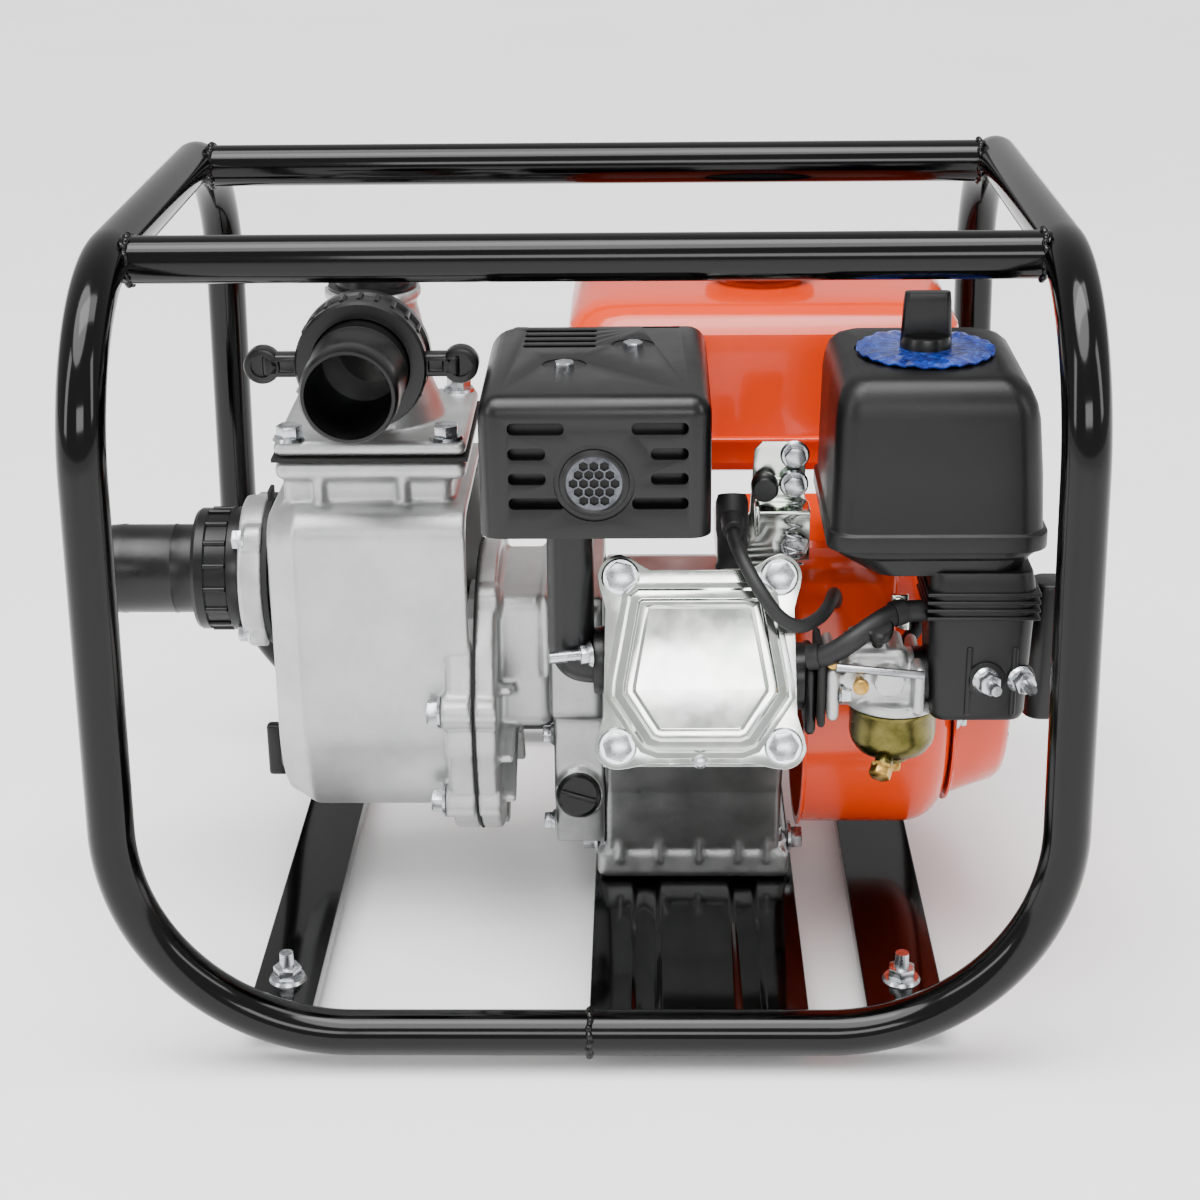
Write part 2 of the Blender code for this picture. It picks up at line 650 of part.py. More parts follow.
def make_exhaust():
    """Muffler can with its pipe to the head's left side, and the guard over it."""
    wall = 6
    can = block(
        (GUARD_X0 + wall, GUARD_Y0 + wall, GUARD_Z0 + 5),
        (GUARD_X1 - wall, GUARD_Y1 - wall, GUARD_Z1 - wall), 8, 2
    )
    port = from_crank(148, 8, CASE_X0 + 4 - GAP)
    collar = rod(port - AXIS_X * 7, AXIS_X, 7, 17, ROUND)
    stub = rod(port - AXIS_X * 18, AXIS_X, 18, 12, ROUND)
    riser = rod(port + Vector((-18, 0, -9)), AXIS_Z, GUARD_Z0 + 20 - port.z, 13, ROUND)
    finish("muffler", joined(can, stub, riser, collar), HEAT_BLACK)
    outer = block((GUARD_X0, GUARD_Y0, GUARD_Z0 - 20), (GUARD_X1, GUARD_Y1, GUARD_Z1), 9, 2)
    inner = block(
        (GUARD_X0 + GUARD_WALL, GUARD_Y0 + GUARD_WALL, GUARD_Z0 - 50),
        (GUARD_X1 - GUARD_WALL, GUARD_Y1 - GUARD_WALL, GUARD_Z1 - GUARD_WALL), 7.5, 2
    )
    below = block(
        (GUARD_X0 - 5, GUARD_Y0 - 5, GUARD_Z0 - 60), (GUARD_X1 + 5, GUARD_Y1 + 5, GUARD_Z0)
    )
    hole = rod((ARRESTOR_X, GUARD_Y0 - 5, ARRESTOR_Z), AXIS_Y, 20, GUARD_HOLE_R, ROUND)
    slots = []
    for row in range(4):
        z = ARRESTOR_Z + 27 - 12.4 * row
        reach = 27 if row in (0, 3) else 18
        for low, high in ((-41, -41 + reach), (45 - reach, 45)):
            x0, x1 = ARRESTOR_X + low, ARRESTOR_X + high
            slots.append(block((x0, GUARD_Y0 - 5, z - 3), (x1, GUARD_Y0 + 5, z + 3)))
    finish("muffler_guard", cut(outer, inner, below, hole, *slots), HEAT_BLACK)
    tube = rod((ARRESTOR_X, GUARD_Y0 - 0.5, ARRESTOR_Z), AXIS_Y, wall, ARRESTOR_R, ROUND)
    finish("spark_arrestor", tube, STEEL)


# ---------------------------------------------------------------- shroud and starter
def make_shroud():
    """Drum round the flywheel with a hood that leads the air over the cylinder."""
    inner = SHROUD_R - 2.5
    round_r = 22
    depth = SHROUD_X1 - SHROUD_X0
    rim = arc((SHROUD_R - round_r, depth - round_r), round_r, 90, 0, 4)
    back = arc((inner - round_r, depth - round_r - 2.5), round_r, 0, 90, 4)
    profile = [(50, depth)] + rim + [(SHROUD_R, 0), (inner, 0)] + back + [(50, depth - 2.5)]
    drum = turned(profile, (SHROUD_X0, CRANK_Y, CRANK_Z), AXIS_X, LARGE, ring=True)
    hood = block((HOOD_X0, HOOD_Y0, HOOD_Z0), (HOOD_X1, HOOD_Y1, HOOD_Z1), 3)
    throat = block((CASE_X1 + 3, HOOD_Y0, CRANK_Z + 50), (HOOD_X1, HOOD_Y1, HOOD_Z1 - 8))
    wall = 2.5
    hood_air = block(
        (HOOD_X0 + wall, HOOD_Y0 + wall, HOOD_Z0 - 5), (HOOD_X1 - wall, HOOD_Y1 - wall, HOOD_Z1 - wall)
    )
    throat_air = block(
        (CASE_X1 + 3 + wall, HOOD_Y0 + wall, CRANK_Z + 45), (HOOD_X1 - wall, HOOD_Y1 - wall, HOOD_Z1 - 5)
    )
    drum_air = rod((SHROUD_X0 - 15, CRANK_Y, CRANK_Z), AXIS_X, depth - 10, inner - 1, LARGE)
    shell = cut(joined(hood, throat), hood_air, throat_air, drum_air)
    finish("fan_shroud", joined(shell, drum), ORANGE)


def make_recoil():
    x0 = SHROUD_X1 + GAP
    wall = 2.5
    profile = [(12, RECOIL_DEPTH), (46, RECOIL_DEPTH), (54, RECOIL_DEPTH - 6), (62, 3), (66, 0)]
    profile += [(60, 0), (59, 3), (51, RECOIL_DEPTH - 7), (45, RECOIL_DEPTH - wall)]
    profile += [(12, RECOIL_DEPTH - wall)]
    dish = turned(profile, (x0, CRANK_Y, CRANK_Z), AXIS_X, LARGE, ring=True)
    nose = block((x0 + 8, -62, GRIP_Z - 13), (GRIP_X + 11, -16, GRIP_Z + 13), 3)
    inside = rod((x0 - 5, CRANK_Y, CRANK_Z), AXIS_X, RECOIL_DEPTH + 1, 50, LARGE)
    rope_bore = rod((GRIP_X, -70, GRIP_Z), AXIS_Y, 60, ROPE_R + 1.5, SMALL)
    finish("recoil_cover", joined(cut(nose, inside, rope_bore), dish), ORANGE)
    hub = 6.0
    profile = [(PULLEY_R, 12), (PULLEY_R, 10), (PULLEY_R - 5, 8), (PULLEY_R - 5, 4), (PULLEY_R, 2)]
    profile += [(PULLEY_R, 0), (hub, 0), (hub, 12)]
    at = (RECOIL_X1 - 20, CRANK_Y, CRANK_Z)
    finish("recoil_pulley", turned(profile, at, AXIS_X, ROUND, ring=True), PLASTIC)
    grip = block((GRIP_X - 12, -84, GRIP_Z - 38), (GRIP_X + 12, -63, GRIP_Z + 38), 8, 3)
    rope = rod((GRIP_X, -70, GRIP_Z), AXIS_Y, 52, ROPE_R, SMALL)
    finish("starter_grip", joined(grip, rope), PLASTIC)


# ---------------------------------------------------------------- fuel and intake
def make_tank():
    body = [
        (TANK_Z0, TANK_X0 + 10, TANK_X1 - 10, TANK_Y0 + 8, TANK_Y1 - 8, 18),
        (TANK_Z0 + 6, TANK_X0 + 2, TANK_X1 - 2, TANK_Y0 + 1, TANK_Y1 - 1, 24),
        (TANK_Z1 - 26, TANK_X0, TANK_X1, TANK_Y0, TANK_Y1, 26),
        (TANK_Z1 - 7, TANK_X0 + 6, TANK_X1 - 6, TANK_Y0 + 7, TANK_Y1 - 7, 26),
        (TANK_Z1, TANK_X0 + 22, TANK_X1 - 22, TANK_Y0 + 22, TANK_Y1 - 22, 20),
    ]
    seam = [
        (z, TANK_X0 - 4, TANK_X1 + 4, TANK_Y0 - 4, TANK_Y1 + 4, 28)
        for z in (TANK_SEAM_Z - 1, TANK_SEAM_Z + 1)
    ]
    hollow = grown(body, -TANK_WALL)
    hollow[0] = (TANK_Z0 + TANK_WALL, *hollow[0][1:])
    hollow[-1] = (TANK_Z1 - TANK_WALL, *hollow[-1][1:])
    neck = rod((CAP_X, CAP_Y, TANK_Z1 - 1), AXIS_Z, 7, FILLER_R, ROUND)
    mouth = rod((CAP_X, CAP_Y, TANK_Z1 - 15), AXIS_Z, 40, FILLER_R - 3, ROUND)
    tank = cut(joined(loft(body), loft(seam), neck), loft(hollow), mouth)
    finish("fuel_tank", tank, ORANGE)
    seat = TANK_Z1 + 6 + GAP
    profile = [(0, 14), (CAP_R - 4, 14), (CAP_R, 10), (CAP_R, 0), (FILLER_R - 4, 0)]
    profile += [(FILLER_R - 4, -6), (0, -6)]
    cap = turned(profile, (CAP_X, CAP_Y, seat), AXIS_Z, ROUND)
    finish("fuel_cap", cap, PLASTIC)
    finish("fuel_hose", pipe(smooth(above_crank(FUEL_ROUTE), 3), 4), RUBBER)


def make_carburettor():
    axis = (CARB_Y, CARB_Z)
    body = rod((CARB_X0, *axis), AXIS_X, CARB_X1 - CARB_X0, 20, ROUND)
    top = block((CARB_X0 + 8, CARB_Y - 15, CARB_Z), (CARB_X1 - 8, CARB_Y + 15, CARB_Z + 24), 3)
    flange = block((CARB_X0, CARB_Y - 26, CARB_Z - 14), (CARB_X0 + 8, CARB_Y + 26, CARB_Z + 14), 3)
    outer = block((CARB_X1 - 8, CARB_Y - 22, CARB_Z - 13), (CARB_X1, CARB_Y + 26, CARB_Z + 13), 3)
    seat = rod((BOWL_X, BOWL_Y, BOWL_TOP_Z), AXIS_Z, 9, BOWL_R + 2, ROUND)
    neck = block((BOWL_X - 14, BOWL_Y - 14, BOWL_TOP_Z + 4), (BOWL_X + 11, BOWL_Y + 14, CARB_Z))
    boss = rod((VALVE_X - 14, CARB_Y + 10, VALVE_Z), AXIS_Y, VALVE_Y + 5 - CARB_Y - 10, 6, SMALL)
    spindle = rod((VALVE_X - 18, VALVE_Y, VALVE_Z), AXIS_X, 18, 5, SMALL)
    throat = rod((CARB_X0 - 5, *axis), AXIS_X, 80, 11, ROUND)
    body = joined(body, top, flange, outer, seat, neck, boss, spindle)
    finish("carburettor", cut(body, throat), CAST_ALUMINIUM)
    depth = 36
    profile = [(0, 0), (BOWL_R, 0), (BOWL_R, 9 - depth), (BOWL_R - 5, 4 - depth), (9, 2 - depth)]
    profile += [(9, -depth - 4), (0, -depth - 4)]
    at = (BOWL_X, BOWL_Y, BOWL_TOP_Z - GAP)
    finish("float_bowl", turned(profile, at, AXIS_Z, ROUND), BOWL_ZINC)
    neck = rod((CASE_X1 - 4 + GAP, *axis), AXIS_X, 10, 17, ROUND)
    block_x0 = CASE_X1 + 4
    slab = block((block_x0, CARB_Y - 20, CARB_Z - 24), (CARB_X0 - GAP, CARB_Y + 20, CARB_Z + 12), 2)
    bore = rod((CASE_X1 - 10, *axis), AXIS_X, 40, 11, ROUND)
    finish("insulator_block", cut(joined(slab, neck), bore), PLASTIC)


def make_fuel_levers():
    x = VALVE_X + GAP
    arm = block((x, VALVE_Y - 4, VALVE_Z - 28), (x + 3, VALVE_Y + 4, VALVE_Z + 5), 1)
    hub = rod((x, VALVE_Y, VALVE_Z), AXIS_X, 5, 6, SMALL)
    finish("fuel_valve_lever", joined(arm, hub), PLASTIC, pivot=(VALVE_X, VALVE_Y, VALVE_Z))
    seat = CARB_Z + 24 + GAP
    hub = rod((CHOKE_X, CARB_Y + 6, seat), AXIS_Z, 5, 5, SMALL)
    arm = block((CHOKE_X - 3, CARB_Y + 6, seat), (CHOKE_X + 3, CARB_Y + 38, seat + 2.5), 0.8)
    finish("choke_lever", joined(hub, arm), ZINC, pivot=(CHOKE_X, CARB_Y + 6, seat))


def make_controls():
    """Zinc-plated bracket on the hood's front, with the throttle lever on its face."""
    y = HOOD_Y0 - GAP
    rises = [(68, 95.3), (113, 101.3), (113, 131.3), (110, 165.3), (84, 165.3), (80, 125.3), (68, 119.3)]
    outline = [(x, CRANK_Z + rise) for x, rise in rises]
    finish("control_bracket", plate(outline, "Y", y - 2, y), ZINC)
    x, z = THROTTLE_AT
    pivot = (x, y - 2 - GAP, z)
    hub = rod(pivot, -AXIS_Y, 4, 6, SMALL)
    arm = block((x - 15, y - 4.8, z - 3), (x, y - 2.8, z + 3), 0.6)
    knob = rod((x - 15, y - 2.8, z), -AXIS_Y, 14, 7, ROUND)
    finish("throttle_lever", joined(hub, arm, knob), PLASTIC, pivot=pivot)


def cleaner_sections(inset):
    x0, x1, y0, y1 = CLEANER_X0, CLEANER_X1, CLEANER_Y0, CLEANER_Y1
    z0, z1 = CLEANER_Z0, CLEANER_Z1
    sections = [
        (z0, x0, x1, y0, y1, 12),
        (z1 - 19, x0 + 3, x1 - 6, y0 + 4, y1 - 2, 14),
        (z1 - 10, x0 + 4, x1 - 9, y0 + 6, y1 - 5, 13),
        (z1, x0 + 9, x1 - 16, y0 + 12, y1 - 11, 11),
    ]
    return grown(sections, -inset)


def make_air_cleaner():
    tray_top = CLEANER_Z0 - GAP
    tray = loft([
        (tray_top - 14, ELBOW_X0 - 30, CLEANER_X1 - 12, ELBOW_Y0 + 4, CLEANER_Y1 - 20, 14),
        (tray_top - 5, CLEANER_X0 + 5, CLEANER_X1 - 4, CLEANER_Y0 + 5, CLEANER_Y1 - 5, 12),
        (tray_top, CLEANER_X0 + 4, CLEANER_X1 - 3, CLEANER_Y0 + 4, CLEANER_Y1 - 4, 12),
    ])
    elbow = loft([
        (ELBOW_Z0, ELBOW_X0 + 3, ELBOW_X1 - 3, ELBOW_Y0 + 2, ELBOW_Y1, 6),
        (tray_top - 14, ELBOW_X0, ELBOW_X1, ELBOW_Y0, ELBOW_Y1, 6),
        (tray_top - 8, ELBOW_X0, ELBOW_X1 - 2, ELBOW_Y0 + 2, ELBOW_Y1, 6),
    ])
    stud = rod((KNOB_X, KNOB_Y, tray_top - 6), AXIS_Z, CLEANER_Z1 + 12 - tray_top, 3, SMALL)
    riser = rod((190, -131, ELBOW_Z0 + 6), AXIS_Z, CLEANER_Z0 - ELBOW_Z0, 13, ROUND)
    inlet = rod((ELBOW_X0 - 5, CARB_Y, CARB_Z), AXIS_X, 26, 11, ROUND)
    base = cut(joined(elbow, tray), riser, inlet)
    finish("air_cleaner_base", joined(base, stud), PLASTIC)
    cover = loft(cleaner_sections(0))
    inside = cleaner_sections(CLEANER_WALL)
    inside[0] = (CLEANER_Z0 - 1, *inside[0][1:])
    inside[-1] = (CLEANER_Z1 - CLEANER_WALL, *inside[-1][1:])
    stud_hole = rod((KNOB_X, KNOB_Y, CLEANER_Z1 - 10), AXIS_Z, 20, 3.6, SMALL)
    finish("air_cleaner_cover", cut(cover, loft(inside), stud_hole), PLASTIC)
    element = block(
        (CLEANER_X0 + 14, CLEANER_Y0 + 16, CLEANER_Z0 + GAP),
        (CLEANER_X1 - 18, CLEANER_Y1 - 16, CLEANER_Z1 - 22), 8
    )
    well = rod((KNOB_X, KNOB_Y, CLEANER_Z0 - 5), AXIS_Z, 90, 4.5, SMALL)
    finish("air_filter", cut(element, well), PAPER)
    seat = CLEANER_Z1 + GAP
    profile = [(0, 7), (13, 7), (13, 2.5), (34, 2), (34, 0), (0, 0)]
    knob = turned(profile, (KNOB_X, KNOB_Y, seat), AXIS_Z, ROUND)
    blade = block((KNOB_X - 12.5, KNOB_Y - 3.5, seat + 3), (KNOB_X + 12.5, KNOB_Y + 3.5, seat + 30), 2)
    well = rod((KNOB_X, KNOB_Y, seat - 3), AXIS_Z, 16, 3.5, SMALL)
    knob = cut(joined(knob, blade), well)
    finish("air_cleaner_knob", knob, PLASTIC)
    finish("breather_hose", pipe(smooth(above_crank(BREATHER_ROUTE), 4), 5.5, 3), RUBBER)


# ---------------------------------------------------------------- pump
def casing_outline(radius, top):
    """Round below the shaft, with straight sides up to the shoulder."""
    bottom = arc((CRANK_Y, CRANK_Z), radius, 180, 360, 14)
    shoulder = 9.0
    right = arc((CRANK_Y + radius - shoulder, top - shoulder), shoulder, 0, 90, 3)
    left = arc((CRANK_Y - radius + shoulder, top - shoulder), shoulder, 90, 180, 3)
    return bottom + right + left


def tapered_end(outline, x_small, x_large, scale):
    """The outline's solid between two planes, shrunk about its middle at one of them."""
    middle_y = sum(y for y, _ in outline) / len(outline)
    middle_z = (max(z for _, z in outline) + min(z for _, z in outline)) / 2
    bm = bmesh.new()
    rings = []
    for x, k in ((x_small, scale), (x_large, 1)):
        ring = []
        for y, z in outline:
            y, z = middle_y + (y - middle_y) * k, middle_z + (z - middle_z) * k
            ring.append(bm.verts.new((x * MM, y * MM, z * MM)))
        rings.append(ring)
    small, large = rings
    for i in range(len(outline)):
        j = (i + 1) % len(outline)
        bm.faces.new((small[i], small[j], large[j], large[i]))
    bm.faces.new(small)
    bm.faces.new(large)
    return add_object(mesh_of(bm))


def make_pump_casing():
    x0, x1 = CASING_X0, CASING_X1
    outline = casing_outline(DRUM_R, SHOULDER_Z)
    body = plate(outline, "X", x0 + CHAMFER - 1, x1 - CASING_FLANGE + 2)
    nose = tapered_end(outline, x0, x0 + CHAMFER, 0.8)
    flange = rod((x1 - CASING_FLANGE, CRANK_Y, CRANK_Z), AXIS_X, CASING_FLANGE, PUMP_FLANGE_R, LARGE)
    half = TOP_FLANGE_HALF
    neck = block(
        (OUTLET_X - half + 3, -half + 5, SHOULDER_Z - 20), (OUTLET_X + half - 8, half - 5, TOP_FLANGE_Z)
    )
    top = block(
        (OUTLET_X - half, -half, TOP_FLANGE_Z - TOP_FLANGE_THICK), (OUTLET_X + half, half, TOP_FLANGE_Z)
    )
    pad = rod((SUCTION_PAD_X, CRANK_Y, SUCTION_Z), AXIS_X, 12, SUCTION_PAD_R, ROUND)
    w = CASING_WALL
    inside = plate(casing_outline(DRUM_R - w, SHOULDER_Z - w), "X", x0 + CHAMFER, x1 + 5)
    nose_air = tapered_end(casing_outline(DRUM_R - w, SHOULDER_Z - w), x0 + w, x0 + CHAMFER + 1, 0.8)
    neck_air = block(
        (OUTLET_X - half + 12, -half + 12, SHOULDER_Z - 30), (OUTLET_X + half - 16, half - 12, 300)
    )
    port = rod((SUCTION_PAD_X - 5, CRANK_Y, SUCTION_Z), AXIS_X, 30, FLAP_R + 4, ROUND)
    boss = rod((x0 - 3, DRAIN_Y, DRAIN_Z), AXIS_X, 12, 14, ROUND)
    drain = rod((x0 - 10, DRAIN_Y, DRAIN_Z), AXIS_X, 30, 8.5, ROUND)
    body = joined(body, nose, flange, neck, top, pad, boss)
    finish("pump_casing", cut(body, inside, nose_air, neck_air, port, drain), CAST_ALUMINIUM)


def make_drain_plug():
    """Hand-turned plug with a wing across its head."""
    seat = (CASING_X0 - 3 - GAP, DRAIN_Y, DRAIN_Z)
    profile = [(0, 4), (12, 4), (12, 0), (7.7, 0), (7.7, -9), (0, -9)]
    head = turned(profile, seat, -AXIS_X, ROUND)
    x = seat[0]
    wing = block((x - 13, DRAIN_Y - 3.5, DRAIN_Z - 16), (x - 2, DRAIN_Y + 3.5, DRAIN_Z + 16), 1.5)
    finish("pump_drain_plug", joined(head, wing), PLASTIC)


def make_adapter():
    """Back plate of the pump, with an open-bottomed neck that bolts to the engine."""
    ring = rod((ADAPTER_X0, CRANK_Y, CRANK_Z), AXIS_X, ADAPTER_THICK, PUMP_FLANGE_R, LARGE)
    x1 = COVER_X0 - GAP
    neck = block((ADAPTER_X1 - 2, -45, CRANK_Z - 8.7), (x1, 42, CRANK_Z + 68.3), 3)
    passage = block((ADAPTER_X1 - 3, -36, CRANK_Z - 36.7), (x1 + 5, 33, CRANK_Z + 59.3))
    pad = block((x1 - 6, -45, CRANK_Z + 23.3), (x1, 42, CRANK_Z + 68.3), 3)
    hub = rod((ADAPTER_X0, CRANK_Y, CRANK_Z), AXIS_X, ADAPTER_THICK + 4, 27, ROUND)
    shaft_hole = rod((ADAPTER_X0 - 5, CRANK_Y, CRANK_Z), AXIS_X, 80, SHAFT_R + 1.5, ROUND)
    body = joined(cut(neck, passage), pad, ring, hub)
    finish("pump_adapter", cut(body, shaft_hole), CAST_ALUMINIUM)


def make_pump_inside():
    """Volute, impeller and shaft seal; the impeller is screwed on the crankshaft's nose."""
    back = ADAPTER_X0 - GAP
    seal = [(21, 12), (21, 0), (SHAFT_R + 1, 0), (SHAFT_R + 1, 12)]
    seal_at = (back, CRANK_Y, CRANK_Z)
    finish("shaft_seal", turned(seal, seal_at, -AXIS_X, ROUND, ring=True), RUBBER)
    disc = rod((IMPELLER_X - 5, CRANK_Y, CRANK_Z), AXIS_X, 4, IMPELLER_R, LARGE)
    hub = rod((IMPELLER_X - 13, CRANK_Y, CRANK_Z), AXIS_X, 12, 18, ROUND)
    socket = rod((IMPELLER_X - 10, CRANK_Y, CRANK_Z), AXIS_X, 30, SHAFT_R + GAP, ROUND)
    vanes = []
    for i in range(4):
        angle = math.radians(90 * i)
        for j, (r, lag) in enumerate(((14, 0), (28, 20))):
            a = angle - math.radians(lag)
            middle = Vector((IMPELLER_X - 8.5, CRANK_Y, CRANK_Z))
            vane = block((-4.5, 0, -2), (4.5, 22, 2))
            turn = Matrix.Rotation(a, 3, "X")
            vane.location = (middle + turn @ Vector((0, r + 10, 0))) * MM
            vane.rotation_quaternion = (turn @ Matrix.Rotation(-0.35 * (j + 1), 3, "X")).to_quaternion()
            vanes.append(vane)
    body = joined(disc, hub, *vanes)
    finish("impeller", cut(body, socket), CAST_ALUMINIUM)
    depth = 32
    wall = 4
    outer = IMPELLER_R + 8
    profile = [(outer, depth), (outer, 0), (outer - wall, 0), (outer - wall, depth - wall)]
    profile += [(23, depth - wall), (23, depth)]
    volute = turned(profile, (back, CRANK_Y, CRANK_Z), -AXIS_X, LARGE, ring=True)
    outlet = block((back - depth + wall + 1, -18, CRANK_Z + 35), (back - 6, 18, CRANK_Z + 80))
    finish("volute", cut(volute, outlet), CAST_ALUMINIUM)


def make_suction():
    seat = SUCTION_FLANGE_X1
    spigot = 16
    plate_part = rod((SUCTION_FLANGE_X0, CRANK_Y, SUCTION_Z), AXIS_X, seat - SUCTION_FLANGE_X0, 41, LARGE)
    lugs = []
    for angle in (45, 135, 225, 315):
        a = math.radians(angle)
        y, z = CRANK_Y + 38 * math.cos(a), SUCTION_Z + 38 * math.sin(a)
        lugs.append(rod((SUCTION_FLANGE_X0 + 5, y, z), AXIS_X, seat - SUCTION_FLANGE_X0 - 5, 8, SMALL))
    nipple = rod((SUCTION_FLANGE_X0 - spigot, CRANK_Y, SUCTION_Z), AXIS_X, spigot + 1, 28.5, ROUND)
    bore = rod((SUCTION_FLANGE_X0 - 30, CRANK_Y, SUCTION_Z), AXIS_X, 60, PORT_R, ROUND)
    body = joined(plate_part, nipple, *lugs)
    finish("suction_flange", cut(body, bore), CAST_ALUMINIUM)
    flap_x = SUCTION_FLANGE_X1 + GAP
    hinge_z = SUCTION_Z + FLAP_R + 1
    flap = rod((flap_x, CRANK_Y, SUCTION_Z), AXIS_X, 2.5, FLAP_R, ROUND)
    weight = rod((flap_x + 2, CRANK_Y, SUCTION_Z), AXIS_X, 4, 16, ROUND)
    finish("suction_flapper", joined(flap, weight), RUBBER, pivot=(flap_x + 1.2, CRANK_Y, hinge_z))
    end = (SUCTION_FLANGE_X0, CRANK_Y, SUCTION_Z)
    make_coupling("suction", end, -AXIS_X, spigot, wings=False)


def make_coupling(name, face, direction, spigot, wings):
    """Hose tail held to a spigot by a coupling nut; face is the flange behind the spigot."""
    face = Vector(face)
    collar_seat = face + direction * (spigot + GAP)
    collar = 6
    profile = [(TAIL_R, TAIL_LENGTH + 6), (TAIL_R, collar), (TAIL_COLLAR_R, collar)]
    profile += [(TAIL_COLLAR_R, 0), (PORT_R, 0), (PORT_R, TAIL_LENGTH + 6)]
    tail = turned(profile, collar_seat, direction, LARGE, ring=True)
    finish(name + "_hose_tail", tail, PLASTIC)
    lip = spigot + GAP + collar + GAP
    profile = [(TAIL_R + RUN_GAP, NUT_LENGTH), (NUT_R - 1.5, NUT_LENGTH), (NUT_R, NUT_LENGTH - 2)]
    profile += [(NUT_R, GAP), (TAIL_COLLAR_R + 0.5, GAP), (TAIL_COLLAR_R + 0.5, lip)]
    profile += [(TAIL_R + RUN_GAP, lip)]
    nut = turned(profile, face, direction, LARGE, ring=True)
    pieces = []
    if wings:
        y0, y1 = face.y - NUT_LENGTH + 2, face.y - NUT_LENGTH + 13
        for side in (-1, 1):
            x0, x1 = face.x + side * (NUT_R - 1), face.x + side * WING_REACH
            arm = block((min(x0, x1), y0, face.z - 7), (max(x0, x1), y1, face.z + 7), 3)
            ear = rod((face.x + side * (WING_REACH - 9.5), y0, face.z), AXIS_Y, y1 - y0, 9.5, ROUND)
            pieces += [arm, ear]
    else:
        for i in range(8):
            a = math.radians(45 * i)
            out = Vector((0, math.cos(a), math.sin(a)))
            start = face + direction * 3 + out * (NUT_R + 0.2)
            pieces.append(rod(start, direction, NUT_LENGTH - 6, 1.8, 6))
    finish(name + "_coupling_nut", joined(nut, *pieces), PLASTIC)


def make_outlet():
    half = TOP_FLANGE_HALF
    low = TOP_FLANGE_Z + GAP
    base_z = low + GASKET + GAP
    base = block((OUTLET_X - half, -half, base_z), (OUTLET_X + half, half, base_z + ELBOW_BASE_THICK), 2)
    profile = [(0, FILLER_TOP_Z), (25, FILLER_TOP_Z), (25, FILLER_TOP_Z - 4), (22.5, FILLER_TOP_Z - 7)]
    profile += [(25, FILLER_TOP_Z - 16), (27, OUTLET_Z - 10), (28, OUTLET_Z - 24), (36, base_z + 4), (36, base_z), (0, base_z)]
    tower = turned(profile, (OUTLET_X, CRANK_Y, 0), AXIS_Z, LARGE)
    spigot = 16
    port = rod((OUTLET_X, CRANK_Y, OUTLET_Z), -AXIS_Y, -OUTLET_PORT_Y, 24.5, LARGE)
    collar = rod((OUTLET_X, OUTLET_PORT_Y + 5, OUTLET_Z), -AXIS_Y, 5, 31, LARGE)
    nipple = rod((OUTLET_X, OUTLET_PORT_Y + 1, OUTLET_Z), -AXIS_Y, spigot + 1, 28.5, LARGE)
    riser = rod((OUTLET_X, CRANK_Y, base_z - 5), AXIS_Z, 100, PORT_R - 1, ROUND)
    bore = rod((OUTLET_X, CRANK_Y, OUTLET_Z), -AXIS_Y, 100, PORT_R, ROUND)
    funnel = rod((OUTLET_X, CRANK_Y, base_z - 1), AXIS_Z, 26, 31, 32, end_radius=20)
    body = joined(base, tower, port, collar, nipple)
    finish("outlet_elbow", cut(body, riser, bore, funnel), CAST_ALUMINIUM)
    make_coupling("outlet", (OUTLET_X, OUTLET_PORT_Y, OUTLET_Z), -AXIS_Y, spigot, wings=True)
    profile = [(0, 9), (17, 9), (19, 7), (19, 1), (23.5, 1), (23.5, 0), (PORT_R - 1.8, 0)]
    profile += [(PORT_R - 1.8, -9), (0, -9)]
    plug = turned(profile, (OUTLET_X, CRANK_Y, FILLER_TOP_Z + GAP), AXIS_Z, ROUND)
    z = FILLER_TOP_Z + 8
    grip = block((OUTLET_X - 15, CRANK_Y - 3.5, z), (OUTLET_X + 15, CRANK_Y + 3.5, z + 11), 2)
    finish("priming_plug", joined(plug, grip), PLASTIC)


def main():
    make_hoops()
    make_top_rails()
    make_members()
    make_feet()
    make_crankcase()
    make_crankcase_cover()
    make_oil_plug()
    make_crank_group()
    make_piston()
    make_head()
    make_valve_cover()
    make_ignition()
    make_exhaust()
    make_shroud()
    make_recoil()
    make_tank()
    make_carburettor()
    make_fuel_levers()
    make_controls()
    make_air_cleaner()
    make_pump_casing()
    make_drain_plug()
    make_adapter()
    make_pump_inside()
    make_suction()
    make_outlet()


main()
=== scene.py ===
import math

import bpy
from mathutils import Matrix, Vector


